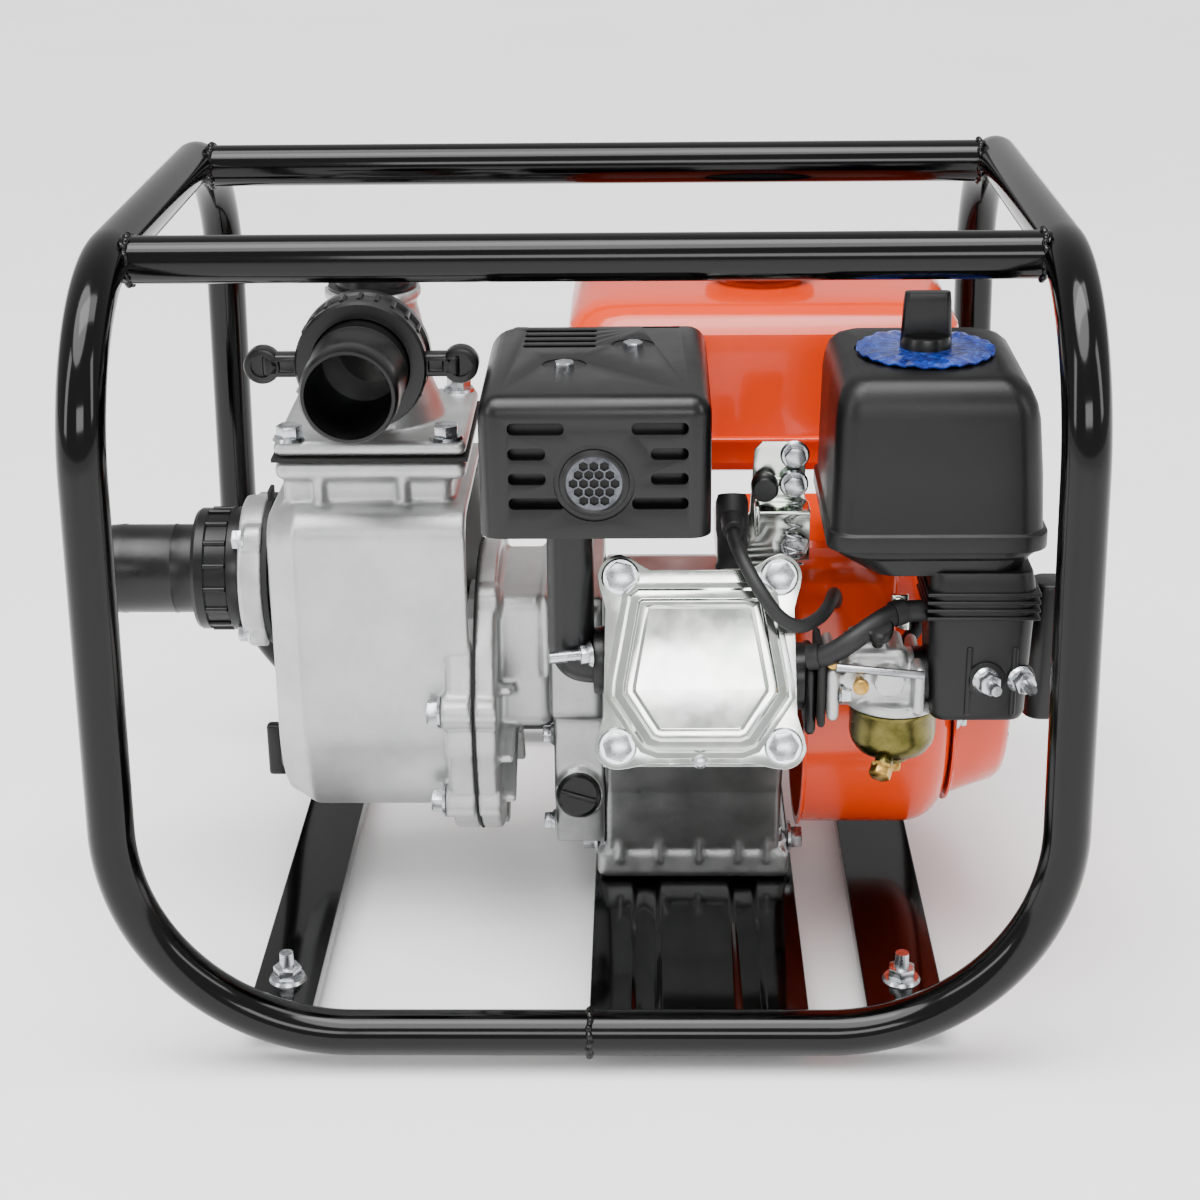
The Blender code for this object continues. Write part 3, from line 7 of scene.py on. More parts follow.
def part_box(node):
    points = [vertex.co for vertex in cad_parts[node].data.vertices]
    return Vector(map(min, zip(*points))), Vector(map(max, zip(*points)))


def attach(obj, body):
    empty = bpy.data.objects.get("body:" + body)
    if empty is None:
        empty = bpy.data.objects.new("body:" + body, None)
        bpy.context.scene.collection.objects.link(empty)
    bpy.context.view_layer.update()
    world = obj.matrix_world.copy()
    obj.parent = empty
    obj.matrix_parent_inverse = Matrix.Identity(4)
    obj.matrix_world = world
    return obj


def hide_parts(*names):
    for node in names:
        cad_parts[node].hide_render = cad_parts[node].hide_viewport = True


# A portable engine-driven fire pump in its carrying frame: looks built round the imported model.
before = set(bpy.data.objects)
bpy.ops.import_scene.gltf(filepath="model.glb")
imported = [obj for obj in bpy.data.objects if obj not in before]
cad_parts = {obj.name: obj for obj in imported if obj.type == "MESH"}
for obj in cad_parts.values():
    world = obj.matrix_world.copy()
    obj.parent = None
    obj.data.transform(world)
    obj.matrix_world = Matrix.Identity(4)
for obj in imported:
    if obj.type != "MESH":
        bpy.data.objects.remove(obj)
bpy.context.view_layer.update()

MM = 0.001
CENTRE = 10.35  # the carrying frame's middle, from the middle of the whole machine, in X
ROOT = "machine"
X, Y, Z = Vector((1, 0, 0)), Vector((0, 1, 0)), Vector((0, 0, 1))

# Places that every maker shares, in millimetres from the carrying frame's middle.
TUBE_R = 11.5
RAIL_Z = 19.5
CRANK = Vector((0, 0, 126.7))
TILT = math.radians(25)
UP_BORE = Vector((0, -math.cos(TILT), math.sin(TILT)))
ACROSS = Vector((0, math.sin(TILT), math.cos(TILT)))


def at(point):
    return (Vector(point) + X * CENTRE) * MM


ORIGIN = at((0, 0, 0))


def on_bore(along, across, x):
    """A point in the tilted cylinder's own directions, from the crank."""
    return CRANK + UP_BORE * along + ACROSS * across + X * x


def box_mm(node):
    low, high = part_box(node)
    return low / MM - X * CENTRE, high / MM - X * CENTRE


# ---------------------------------------------------------------- shaping
def only(obj):
    bpy.ops.object.select_all(action="DESELECT")
    obj.hide_set(False)
    obj.select_set(True)
    bpy.context.view_layer.objects.active = obj
    return obj


def settled(obj):
    only(obj)
    bpy.ops.object.transform_apply(location=True, rotation=True, scale=True)
    return obj


def facing_out(obj, merge=0.00001):
    only(obj)
    bpy.ops.object.mode_set(mode="EDIT")
    bpy.ops.mesh.select_all(action="SELECT")
    bpy.ops.mesh.remove_doubles(threshold=merge)
    bpy.ops.mesh.normals_make_consistent(inside=False)
    bpy.ops.object.mode_set(mode="OBJECT")
    return obj


def modified(obj, kind, **settings):
    only(obj)
    modifier = obj.modifiers.new(kind.lower(), kind)
    for name, value in settings.items():
        setattr(modifier, name, value)
    bpy.ops.object.modifier_apply(modifier=modifier.name)
    return obj


def rounded(obj, width, segments=3, angle=35):
    return modified(
        obj, "BEVEL", width=width * MM, segments=segments, limit_method="ANGLE",
        angle_limit=math.radians(angle), use_clamp_overlap=True,
    )


def cube(low, high, rounding=0.0, segments=3):
    low, high = Vector(low), Vector(high)
    middle = at((low + high) / 2)
    bpy.ops.mesh.primitive_cube_add(size=1, location=middle, scale=(high - low) * MM)
    obj = settled(bpy.context.object)
    return rounded(obj, rounding, segments) if rounding else obj


def bar(start, direction, length, radius, sides=40, tip=None, rounding=0.0):
    direction = Vector(direction).normalized()
    middle = Vector(start) + direction * length / 2
    tip = radius if tip is None else tip
    bpy.ops.mesh.primitive_cone_add(
        vertices=sides, radius1=radius * MM, radius2=tip * MM, depth=length * MM,
        location=at(middle), rotation=direction.to_track_quat("Z", "Y").to_euler(),
    )
    obj = settled(bpy.context.object)
    return rounded(obj, rounding, 2) if rounding else obj


def turned(profile, base, axis, sides=64, hollow=False):
    """Rings of (radius, height) pulled up from a circle; a hollow profile comes back to its start."""
    radius, height = profile[0]
    bpy.ops.mesh.primitive_circle_add(
        vertices=sides, radius=radius * MM, location=(0, 0, height * MM),
        fill_type="NOTHING" if hollow else "NGON",
    )
    obj = settled(bpy.context.object)
    bpy.ops.object.mode_set(mode="EDIT")
    bpy.ops.mesh.select_all(action="SELECT")
    rings = profile[1:] + (profile[:1] if hollow else [])
    for r, h in rings:
        rise = (0, 0, (h - height) * MM)
        bpy.ops.mesh.extrude_region_move(TRANSFORM_OT_translate={"value": rise})
        if r != radius:
            grow = r / radius
            bpy.ops.transform.resize(value=(grow, grow, 1), center_override=(0, 0, h * MM))
        radius, height = r, h
    bpy.ops.object.mode_set(mode="OBJECT")
    obj.rotation_mode = "QUATERNION"
    obj.rotation_quaternion = Vector(axis).to_track_quat("Z", "Y")
    obj.location = at(base)
    return facing_out(settled(obj))


def pillow(sections, bevel=0.0):
    """A rounded plan pulled up from level to level: (z, x0, x1, y0, y1, corner radius)."""
    z, x0, x1, y0, y1, corner = sections[0]
    bpy.ops.mesh.primitive_plane_add(size=1, location=at(((x0 + x1) / 2, (y0 + y1) / 2, z)))
    obj = bpy.context.object
    obj.scale = ((x1 - x0) * MM, (y1 - y0) * MM, 1)
    settled(obj)
    bpy.ops.object.mode_set(mode="EDIT")
    bpy.ops.mesh.select_all(action="SELECT")
    bpy.ops.mesh.bevel(offset=corner * MM, segments=8, affect="VERTICES")
    bpy.ops.mesh.select_all(action="SELECT")
    for nz, nx0, nx1, ny0, ny1, _ in sections[1:]:
        rise = (0, 0, (nz - z) * MM)
        bpy.ops.mesh.extrude_region_move(TRANSFORM_OT_translate={"value": rise})
        grow = ((nx1 - nx0) / (x1 - x0), (ny1 - ny0) / (y1 - y0), 1)
        middle = at(((x0 + x1) / 2, (y0 + y1) / 2, nz))
        bpy.ops.transform.resize(value=grow, center_override=middle)
        shift = ((nx0 + nx1 - x0 - x1) / 2 * MM, (ny0 + ny1 - y0 - y1) / 2 * MM, 0)
        bpy.ops.transform.translate(value=shift)
        z, x0, x1, y0, y1 = nz, nx0, nx1, ny0, ny1
    bpy.ops.object.mode_set(mode="OBJECT")
    facing_out(obj)
    return rounded(obj, bevel, 3) if bevel else obj


def curve_object(points, cyclic, dimensions):
    curve = bpy.data.curves.new("drawn", "CURVE")
    curve.dimensions = dimensions
    spline = curve.splines.new("POLY")
    spline.points.add(len(points) - 1)
    for target, point in zip(spline.points, points):
        target.co = (*point, 1)
    spline.use_cyclic_u = cyclic
    obj = bpy.data.objects.new("drawn", curve)
    bpy.context.collection.objects.link(obj)
    return obj


def as_mesh(obj):
    only(obj)
    bpy.ops.object.convert(target="MESH")
    return facing_out(bpy.context.object)


def tube(points, radius, resolution=6):
    """A round bar or hose along the points."""
    obj = curve_object([at(p) for p in points], False, "3D")
    obj.data.bevel_depth = radius * MM
    obj.data.bevel_resolution = resolution
    obj.data.use_fill_caps = True
    return as_mesh(obj)


TURNS = {
    "X": Matrix(((0, 0, 1), (1, 0, 0), (0, 1, 0))),
    "Y": Matrix(((1, 0, 0), (0, 0, -1), (0, 1, 0))),
    "Z": Matrix.Identity(3),
}


def plate(outline, axis, low, high, rounding=0.0, segments=2):
    """A flat outline, drawn in (Y, Z), (X, Z) or (X, Y), given thickness along the axis."""
    obj = curve_object([(a * MM, b * MM, 0) for a, b in outline], True, "2D")
    obj.data.fill_mode = "BOTH"
    obj.data.extrude = (high - low) / 2 * MM
    obj = as_mesh(obj)
    obj.rotation_mode = "QUATERNION"
    obj.rotation_quaternion = TURNS[axis].to_quaternion()
    obj.location = at({"X": X, "Y": Y, "Z": Z}[axis] * (low + high) / 2)
    settled(obj)
    return rounded(obj, rounding, segments) if rounding else obj


def arc(centre, radius, start, end, steps):
    turns = [math.radians(start + (end - start) * i / steps) for i in range(steps + 1)]
    return [(centre[0] + radius * math.cos(a), centre[1] + radius * math.sin(a)) for a in turns]


def boolean(obj, tools, operation):
    for tool in tools:
        modified(obj, "BOOLEAN", operation=operation, object=tool, solver="EXACT")
        bpy.data.objects.remove(tool, do_unlink=True)
    return obj


def cut(obj, *tools):
    return boolean(obj, tools, "DIFFERENCE")


def united(obj, *others):
    return boolean(obj, others, "UNION")


def merged(*pieces):
    """Loose parts of one piece, kept as they are in one mesh."""
    only(pieces[0])
    for piece in pieces[1:]:
        piece.select_set(True)
    bpy.ops.object.join()
    return bpy.context.object


def cast(obj, grain=1.6, passes=3):
    """Softens every inner and outer corner the way a casting's fillets do."""
    modified(obj, "REMESH", mode="VOXEL", voxel_size=grain * MM)
    modified(obj, "SMOOTH", factor=0.5, iterations=passes)
    return modified(obj, "DECIMATE", ratio=0.35)


def turned_by(obj, axis, degrees, about):
    matrix = Matrix.Translation(at(about)) @ Matrix.Rotation(math.radians(degrees), 4, Vector(axis))
    obj.data.transform(matrix @ Matrix.Translation(-at(about)))
    return obj


def copied(template, name):
    """A copy with its own mesh, at the template's place."""
    obj = bpy.data.objects.new(name, template.data.copy())
    bpy.context.collection.objects.link(obj)
    return obj


def done(obj, name, body, material, stands_for=(), smooth=35):
    """Names a finished piece, shades it and puts it on its body."""
    obj.name = name
    obj.data.name = name
    only(obj)
    bpy.ops.object.shade_smooth_by_angle(angle=math.radians(smooth))
    obj.data.materials.clear()
    obj.data.materials.append(material)
    if stands_for:
        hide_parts(*stands_for)
    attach(obj, body)
    return obj


# ---------------------------------------------------------------- finishes
def linear(hex_colour):
    channels = [int(hex_colour[i:i + 2], 16) / 255 for i in (1, 3, 5)]
    return (*[c / 12.92 if c <= 0.04045 else ((c + 0.055) / 1.055) ** 2.4 for c in channels], 1)


def add(tree, kind, inputs=None, **settings):
    """One node, its settings, and its sockets set to a value or linked to another node's output."""
    node = tree.nodes.new(kind)
    for name, value in settings.items():
        setattr(node, name, value)
    for name, value in (inputs or {}).items():
        if isinstance(value, bpy.types.NodeSocket):
            tree.links.new(value, node.inputs[name])
        else:
            node.inputs[name].default_value = value
    return node


def ramp(tree, source, stops):
    node = add(tree, "ShaderNodeValToRGB", {"Fac": source})
    elements = node.color_ramp.elements
    while len(elements) < len(stops):
        elements.new(0.5)
    for element, (place, value) in zip(elements, stops):
        element.position = place
        element.color = linear(value) if isinstance(value, str) else (value, value, value, 1)
    return node.outputs["Color"]


def surface(name, shader):
    """An empty material and its shader with the given sockets."""
    material = bpy.data.materials.new(name)
    material.use_nodes = True
    tree = material.node_tree
    principled = tree.nodes["Principled BSDF"]
    for socket, value in shader.items():
        principled.inputs[socket].default_value = value
    return material, tree, principled


def object_space(tree):
    return add(tree, "ShaderNodeTexCoord").outputs["Object"]


def noise(tree, space, size_mm, detail=3.0, roughness=0.5, distortion=0.0):
    """Blotches about the given size across."""
    return add(tree, "ShaderNodeTexNoise", {
        "Vector": space, "Scale": 1000 / size_mm, "Detail": detail,
        "Roughness": roughness, "Distortion": distortion,
    }).outputs["Fac"]


def bumped(tree, principled, height, depth_mm, strength=1.0):
    bump = add(tree, "ShaderNodeBump", {
        "Height": height, "Strength": strength, "Distance": depth_mm * MM,
    })
    tree.links.new(bump.outputs["Normal"], principled.inputs["Normal"])


def speckled(name, dark, light, rough, blotch_mm, grain_mm, grain_depth_mm, shader):
    """A finish with two-tone blotches, uneven gloss and a fine grain."""
    material, tree, principled = surface(name, shader)
    space = object_space(tree)
    blotch = noise(tree, space, blotch_mm, 4.0, 0.6)
    tree.links.new(ramp(tree, blotch, [(0.3, dark), (0.7, light)]), principled.inputs["Base Color"])
    gloss = ramp(tree, blotch, [(0.25, rough[0]), (0.75, rough[1])])
    tree.links.new(gloss, principled.inputs["Roughness"])
    bumped(tree, principled, noise(tree, space, grain_mm, 2.0, 0.5), grain_depth_mm)
    return material


def make_finishes():
    finishes = {}
    # Gloss stove enamel over steel tube: near black, sharp lamp reflections, a trace of orange peel.
    finishes["frame_enamel"] = speckled(
        "stoved_black_enamel", "#010101", "#030303", (0.09, 0.15), 60, 5, 0.012,
        {"Coat Weight": 0.1, "Coat Roughness": 0.05, "Specular IOR Level": 0.22},
    )
    # Shot-blasted die casting: bright, evenly matt, with a grit that sparkles.
    finishes["blasted"] = speckled(
        "shot_blasted_aluminium", "#aeb0af", "#c4c5c4", (0.36, 0.46), 30, 0.9, 0.14,
        {"Metallic": 0.85},
    )
    # As-cast engine aluminium: greyer than the pump, a little slicker, with flow marks.
    finishes["engine_cast"] = speckled(
        "die_cast_engine_aluminium", "#989a99", "#b4b5b4", (0.30, 0.42), 22, 1.2, 0.08,
        {"Metallic": 0.9},
    )
    # Bright zinc plate on pressed steel: mirror-like, faintly green and yellow from the passivate.
    zinc, tree, principled = surface("bright_zinc_plate", {"Metallic": 1.0})
    space = object_space(tree)
    tint = noise(tree, space, 45, 2.0, 0.5, 0.6)
    colour = ramp(tree, tint, [(0.30, "#c9d2c6"), (0.50, "#e4e8e2"), (0.70, "#d6dcd8")])
    tree.links.new(colour, principled.inputs["Base Color"])
    rough = ramp(tree, noise(tree, space, 9, 3.0), [(0.3, 0.10), (0.7, 0.19)])
    tree.links.new(rough, principled.inputs["Roughness"])
    bumped(tree, principled, noise(tree, space, 16, 1.0), 0.05)
    finishes["zinc"] = zinc
    # Zinc-plated fasteners: bluer and slightly duller than the cover.
    finishes["bolts"] = speckled(
        "blue_zinc_fasteners", "#a9aeb2", "#d3d6d8", (0.20, 0.34), 5, 1.2, 0.03, {"Metallic": 1.0}
    )
    # Orange stoving enamel on pressed steel: deep gloss with a clear top layer.
    finishes["orange"] = speckled(
        "orange_stoving_enamel", "#d23402", "#dc3c04", (0.16, 0.24), 90, 6, 0.012,
        {"Coat Weight": 0.25, "Coat Roughness": 0.05, "Specular IOR Level": 0.35},
    )
    # Moulded ABS with a fine spark-eroded grain: charcoal, soft broad highlights.
    finishes["abs"] = speckled(
        "grained_abs", "#070708", "#0b0b0c", (0.34, 0.46), 35, 1.2, 0.05,
        {"Specular IOR Level": 0.3},
    )
    # Glass-filled nylon couplings: black, smoother, slight flow lines.
    finishes["nylon"] = speckled(
        "glass_filled_nylon", "#050506", "#090909", (0.26, 0.40), 14, 1.6, 0.03,
        {"Specular IOR Level": 0.35},
    )
    # Heat-resistant satin paint on thin steel sheet.
    finishes["heat_paint"] = speckled(
        "heat_resistant_satin_black", "#060607", "#0a0a0b", (0.28, 0.40), 40, 1.5, 0.04,
        {"Specular IOR Level": 0.35},
    )
    # Nitrile rubber: dull and a little dusty.
    finishes["rubber"] = speckled(
        "nitrile_rubber", "#0d0d0e", "#151516", (0.48, 0.64), 12, 1.4, 0.05,
        {"Specular IOR Level": 0.4},
    )
    # Olive chromate on the float bowl: brassy green, blotched where the plating ran.
    finishes["olive"] = speckled(
        "olive_chromate_plate", "#4d4922", "#7c7343", (0.22, 0.34), 14, 2.0, 0.03,
        {"Metallic": 1.0},
    )
    # Turned brass, slightly tarnished.
    finishes["brass"] = speckled(
        "tarnished_brass", "#96702f", "#c9a45b", (0.22, 0.38), 4, 1.0, 0.03, {"Metallic": 1.0}
    )
    # Plain machined steel.
    finishes["steel"] = speckled(
        "machined_steel", "#85878a", "#b4b6b9", (0.24, 0.36), 10, 1.0, 0.03, {"Metallic": 1.0}
    )
    # Dark oxidised steel of the arrestor gauze.
    finishes["gauze"] = speckled(
        "heat_blued_steel", "#3a3c40", "#6a6d72", (0.30, 0.46), 6, 1.0, 0.05, {"Metallic": 1.0}
    )
    # Thin clear-blue moulded film, crinkled; its colour follows the crinkle height, with painted shade
    # in the hollows and painted highlight on the crests.
    blue, tree, principled = surface(
        "crinkled_blue_film", {"Roughness": 0.14, "Coat Weight": 0.5, "Coat Roughness": 0.08}
    )
    space = object_space(tree)
    crinkle = noise(tree, space, 7, 4.0, 0.65, 1.2)
    # Colour from the crinkle height: painted shade in the hollows, painted highlight on the crests.
    colour = ramp(tree, crinkle, [(0.32, "#061048"), (0.5, "#10308f"), (0.74, "#3566d6")])
    tree.links.new(colour, principled.inputs["Base Color"])
    bumped(tree, principled, crinkle, 1.1)
    finishes["film"] = blue
    # Pressed-fibre gaskets, and the black disc behind the arrestor gauze, which is painted shade for
    # the muffler's sooty inside: no gloss at all.
    finishes["gasket"] = speckled(
        "pressed_fibre_gasket", "#0d0d0d", "#1a1918", (0.7, 0.85), 6, 0.9, 0.05, {}
    )
    # Glazed plug insulator.
    finishes["ceramic"] = speckled(
        "glazed_ceramic", "#e4e1d8", "#f1efe8", (0.08, 0.14), 20, 3.0, 0.01,
        {"Coat Weight": 0.3},
    )
    # Open-cell foam of the filter element.
    finishes["foam"] = speckled("oiled_foam", "#4a463a", "#6a6452", (0.8, 0.95), 5, 1.2, 0.4, {})
    # Pale studio floor.
    finishes["floor"] = speckled(
        "studio_floor", "#fafafa", "#fdfdfd", (0.55, 0.65), 400, 40, 0.02, {}
    )
    return finishes


F = make_finishes()


# ---------------------------------------------------------------- fasteners
def bolt_template(across, head, washer_r, shank=0.0):
    """A flanged hexagon head standing on +Z with its edges eased, and a stud end if it has one."""
    bpy.ops.mesh.primitive_cylinder_add(
        vertices=6, radius=across / math.sqrt(3) * MM, depth=head * MM,
        location=(0, 0, (head / 2 + 1) * MM)
    )
    hexagon = settled(bpy.context.object)
    bpy.ops.object.mode_set(mode="EDIT")
    bpy.ops.mesh.select_all(action="SELECT")
    bpy.ops.mesh.bevel(offset=0.7 * MM, segments=2, affect="EDGES")
    bpy.ops.object.mode_set(mode="OBJECT")
    bpy.ops.mesh.primitive_cone_add(
        vertices=28, radius1=washer_r * MM, radius2=(washer_r - 1) * MM, depth=1.6 * MM,
        location=(0, 0, 0.8 * MM)
    )
    washer = settled(bpy.context.object)
    parts = [hexagon, washer]
    if shank:
        bpy.ops.mesh.primitive_cone_add(
            vertices=20, radius1=across * 0.3 * MM, radius2=across * 0.27 * MM,
            depth=shank * MM, location=(0, 0, (head + 1 + shank / 2) * MM)
        )
        parts.append(settled(bpy.context.object))
    return merged(*parts)


def fasten(template, name, spots, body=ROOT, material=None):
    """Copies of a fastener, each standing on its spot along its direction, with its own mesh."""
    for i, (point, direction, spin) in enumerate(spots):
        obj = copied(template, name)
        turn = Vector(direction).normalized().to_track_quat("Z", "Y").to_matrix().to_4x4()
        turn = turn @ Matrix.Rotation(math.radians(spin), 4, "Z")
        obj.data.transform(Matrix.Translation(at(point)) @ turn)
        done(obj, f"{name}_{i + 1}", body, material or F["bolts"], smooth=30)


def throw_away(*templates):
    for obj in templates:
        bpy.data.objects.remove(obj, do_unlink=True)


# ---------------------------------------------------------------- carrying frame
HOOP_X, LOWER_BEND, UPPER_BEND, HOOP_TOP, RAIL_Y = 231.8, 112.0, 87.3, 399.2, 193.3
LEAN = math.radians(1.04)  # the hoops' sides lean in towards the top
TOP_RAIL_Z, TOP_RAIL_Y, TOP_RAIL_REACH = 396.9, 113.7, 219.5
LEFT_MEMBER_X, RIGHT_MEMBER_X, FOOT_Y = -159.8, 161.4, 141.5
SHEET = 2.5


def hoop_points(side):
    lower = arc((HOOP_X - LOWER_BEND, RAIL_Z + LOWER_BEND), LOWER_BEND, -90, math.degrees(LEAN), 40)
    path = [(side * x, -RAIL_Y, z) for x, z in [(0.15, RAIL_Z)] + lower]
    start_x, start_z = lower[-1]
    for a, b in arc((0, 0), UPPER_BEND, 180, 90, 28):
        z = HOOP_TOP - UPPER_BEND + b
        path.append((side * (start_x - (z - start_z) * math.tan(LEAN)), -RAIL_Y + UPPER_BEND + a, z))
    return path + [(x, -y, z) for x, y, z in reversed(path)]


def weld_bead(centre, axis, radius, name):
    """Overlapping beads run round a joint."""
    turn = Vector(axis).to_track_quat("Z", "Y")
    bpy.ops.mesh.primitive_torus_add(
        major_segments=96, minor_segments=10, major_radius=radius * MM, minor_radius=1.7 * MM,
        location=at(centre), rotation=turn.to_euler()
    )
    ring = settled(bpy.context.object)
    middle = at(centre)
    across = turn @ X
    beside = turn @ Y
    for vertex in ring.data.vertices:
        out = vertex.co - middle
        angle = math.atan2(out.dot(beside), out.dot(across))
        # 19 beads round the tube, with a slow waver along it
        vertex.co += out.normalized() * 0.55 * MM * math.sin(angle * 19)
        vertex.co += Vector(axis) * 0.5 * MM * math.sin(angle * 7)
    return done(ring, name, ROOT, F["frame_enamel"], smooth=60)


def channel(centre, width, grooves=()):
    """The end view of a pressed sheet with its sides folded down and grooves run along it."""
    low, foot = RAIL_Z - SHEET, RAIL_Z - 11
    x0, x1 = centre - width / 2, centre + width / 2
    top, under = [(x0, RAIL_Z)], []
    for groove in grooves:
        x = centre + groove
        for line, z in ((top, RAIL_Z), (under, low)):
            line += [(x - 8, z), (x - 5, z - SHEET), (x + 5, z - SHEET), (x + 8, z)]
    right = [(x1, RAIL_Z), (x1, foot), (x1 - SHEET, foot), (x1 - SHEET, low)]
    left = [(x0 + SHEET, low), (x0 + SHEET, foot), (x0, foot)]
    return top + right + under[::-1] + left


def make_frame():
    for name, side in (("frame_hoop_left", -1), ("frame_hoop_right", 1)):
        done(tube(hoop_points(side), TUBE_R, 10), name + "_tube", ROOT, F["frame_enamel"],
             (name,), smooth=60)
    for name, side in (("top_rail_front", -1), ("top_rail_rear", 1)):
        y = side * TOP_RAIL_Y
        rail = bar((-TOP_RAIL_REACH, y, TOP_RAIL_Z), X, 2 * TOP_RAIL_REACH, TUBE_R, 48)
        done(rail, name + "_tube", ROOT, F["frame_enamel"], (name,), smooth=60)
        for end in (-1, 1):
            word = "left" if end < 0 else "right"
            weld = (end * (TOP_RAIL_REACH - 3), y, TOP_RAIL_Z)
            weld_bead(weld, X, TUBE_R - 0.2, f"weld_{name}_{word}")
    for side, word in ((-1, "front"), (1, "rear")):
        weld_bead((0, side * RAIL_Y, RAIL_Z), X, TUBE_R - 0.3, f"weld_bottom_{word}")
    for name, x, width, grooves, reach in (
        ("cross_member_left", LEFT_MEMBER_X, 33.3, (), RAIL_Y - 3),
        ("cross_member_right", RIGHT_MEMBER_X, 40.2, (), RAIL_Y - 3),
        ("engine_plate", 55.3, 112.2, (-27, 27), RAIL_Y - 6),
    ):
        obj = plate(channel(x, width, grooves), "Y", -reach, reach, 0.9, 3)
        if not grooves:
            # the ends are cut away where they would show below the hoop
            for side in (-1, 1):
                wedge = cube((x - 40, -30, -30), (x + 40, 30, 0))
                place = Matrix.Translation(at((0, side * (reach - 13), RAIL_Z)) - ORIGIN)
                wedge.data.transform(place @ Matrix.Rotation(side * math.radians(24), 4, "X"))
                cut(obj, wedge)
        done(obj, name + "_sheet", ROOT, F["frame_enamel"], (name,))
    foot = turned(
        [(9, 0), (11.6, 0.4), (13, 2), (13.6, 5), (13.4, 9), (13, 15.7), (4, 16.2), (4, 16.7)],
        (0, 0, 0), Z, 48,
    )
    nut = bolt_template(13, 6.5, 10, 8)
    spots = []
    for end, x in (("left", LEFT_MEMBER_X), ("right", RIGHT_MEMBER_X)):
        for place, y in (("front", -FOOT_Y), ("rear", FOOT_Y)):
            obj = copied(foot, "foot")
            obj.data.transform(Matrix.Translation(Vector((x, y, 0)) * MM))
            done(obj, f"foot_{place}_{end}_bumper", ROOT, F["rubber"],
                 (f"rubber_foot_{place}_{end}",))
            spots.append(((x, y, RAIL_Z), Z, 12 + x))
    fasten(nut, "foot_nut", spots)
    throw_away(foot, nut)


# ---------------------------------------------------------------- pump
OUTLET_X, OUTLET_Z, SUCTION_Z = -115.0, 330.0, 196.0
CASE_X0, CASE_X1 = -170.5, -63.0
SHOULDER_Z, TOP_Z, HALF = 250.0, 274.0, 50.5  # HALF is half the outlet flange's side
LUG_ANGLES, LUG_CIRCLE = (-121, -32, 32, 121, 180, -78), 78.5
SUCTION_ANGLES, SUCTION_CIRCLE, SUCTION_FACE = (45, 135, 225, 315), 38, -191.2


def lug_spot(x, angle):
    """On the circle of the screws that hold the casing to the adapter."""
    a = math.radians(angle)
    return x, LUG_CIRCLE * math.sin(a), CRANK.z + LUG_CIRCLE * math.cos(a)


def suction_spot(x, angle):
    a = math.radians(angle)
    return x, SUCTION_CIRCLE * math.cos(a), SUCTION_Z + SUCTION_CIRCLE * math.sin(a)


def casing_plan(radius, top, shoulder=14.0):
    bottom = arc((0, CRANK.z), radius, 180, 360, 64)
    right = arc((radius - shoulder, top - shoulder), shoulder, 0, 90, 10)
    left = arc((-radius + shoulder, top - shoulder), shoulder, 90, 180, 10)
    return bottom + right + left


def make_casing():
    body = plate(casing_plan(68, SHOULDER_Z), "X", CASE_X0 + 15.3, CASE_X1 - 2)
    end_steps = []
    for step in range(1, 10):
        plan = casing_plan(68 - step, SHOULDER_Z - step * 0.6, 16)
        end_steps.append(plate(plan, "X", CASE_X0 + 15.3 - 1.7 * step, CASE_X0 + 18))
    united(body, *end_steps)
    flange = bar((CASE_X1 - 14.5, 0, CRANK.z), X, 14.2, 81.6, 96)
    x0, x1 = OUTLET_X - HALF, OUTLET_X + HALF
    neck = cube((x0 + 3, -HALF + 5, SHOULDER_Z - 20), (x1 - 8, HALF - 5, TOP_Z - 3), 6)
    top = cube((x0, -HALF, TOP_Z - 11), (x1, HALF, TOP_Z), 5)
    pad = bar((-174.5, 0, SUCTION_Z), X, 14, 40, 64)
    boss = bar((CASE_X0 - 3, -5, 88), X, 14, 14, 40)
    lugs = [bar(lug_spot(CASE_X1 - 17.5, angle), X, 16.6, 9, 32) for angle in LUG_ANGLES]
    ribs = [cube((OUTLET_X - 8 + dx, -HALF + 1, 236), (OUTLET_X - 3 + dx, -HALF + 18, TOP_Z - 8), 1.5)
            for dx in (-22, 22)]
    united(body, flange, neck, top, pad, boss, *lugs, *ribs)
    inside = plate(casing_plan(63, SHOULDER_Z - 5), "X", CASE_X0 + 10, CASE_X1 + 5)
    hole = cube((OUTLET_X - 38, -38, 220), (OUTLET_X + 34, 38, 300), 4)
    port = bar((-180, 0, SUCTION_Z), X, 30, 28, 48)
    drain = bar((CASE_X0 - 10, -5, 88), X, 30, 8.5, 32)
    cut(body, inside, hole, port, drain)
    cast(body, 1.5, 4)
    done(body, "pump_casing_shell", ROOT, F["blasted"], ("pump_casing",),
         smooth=50)


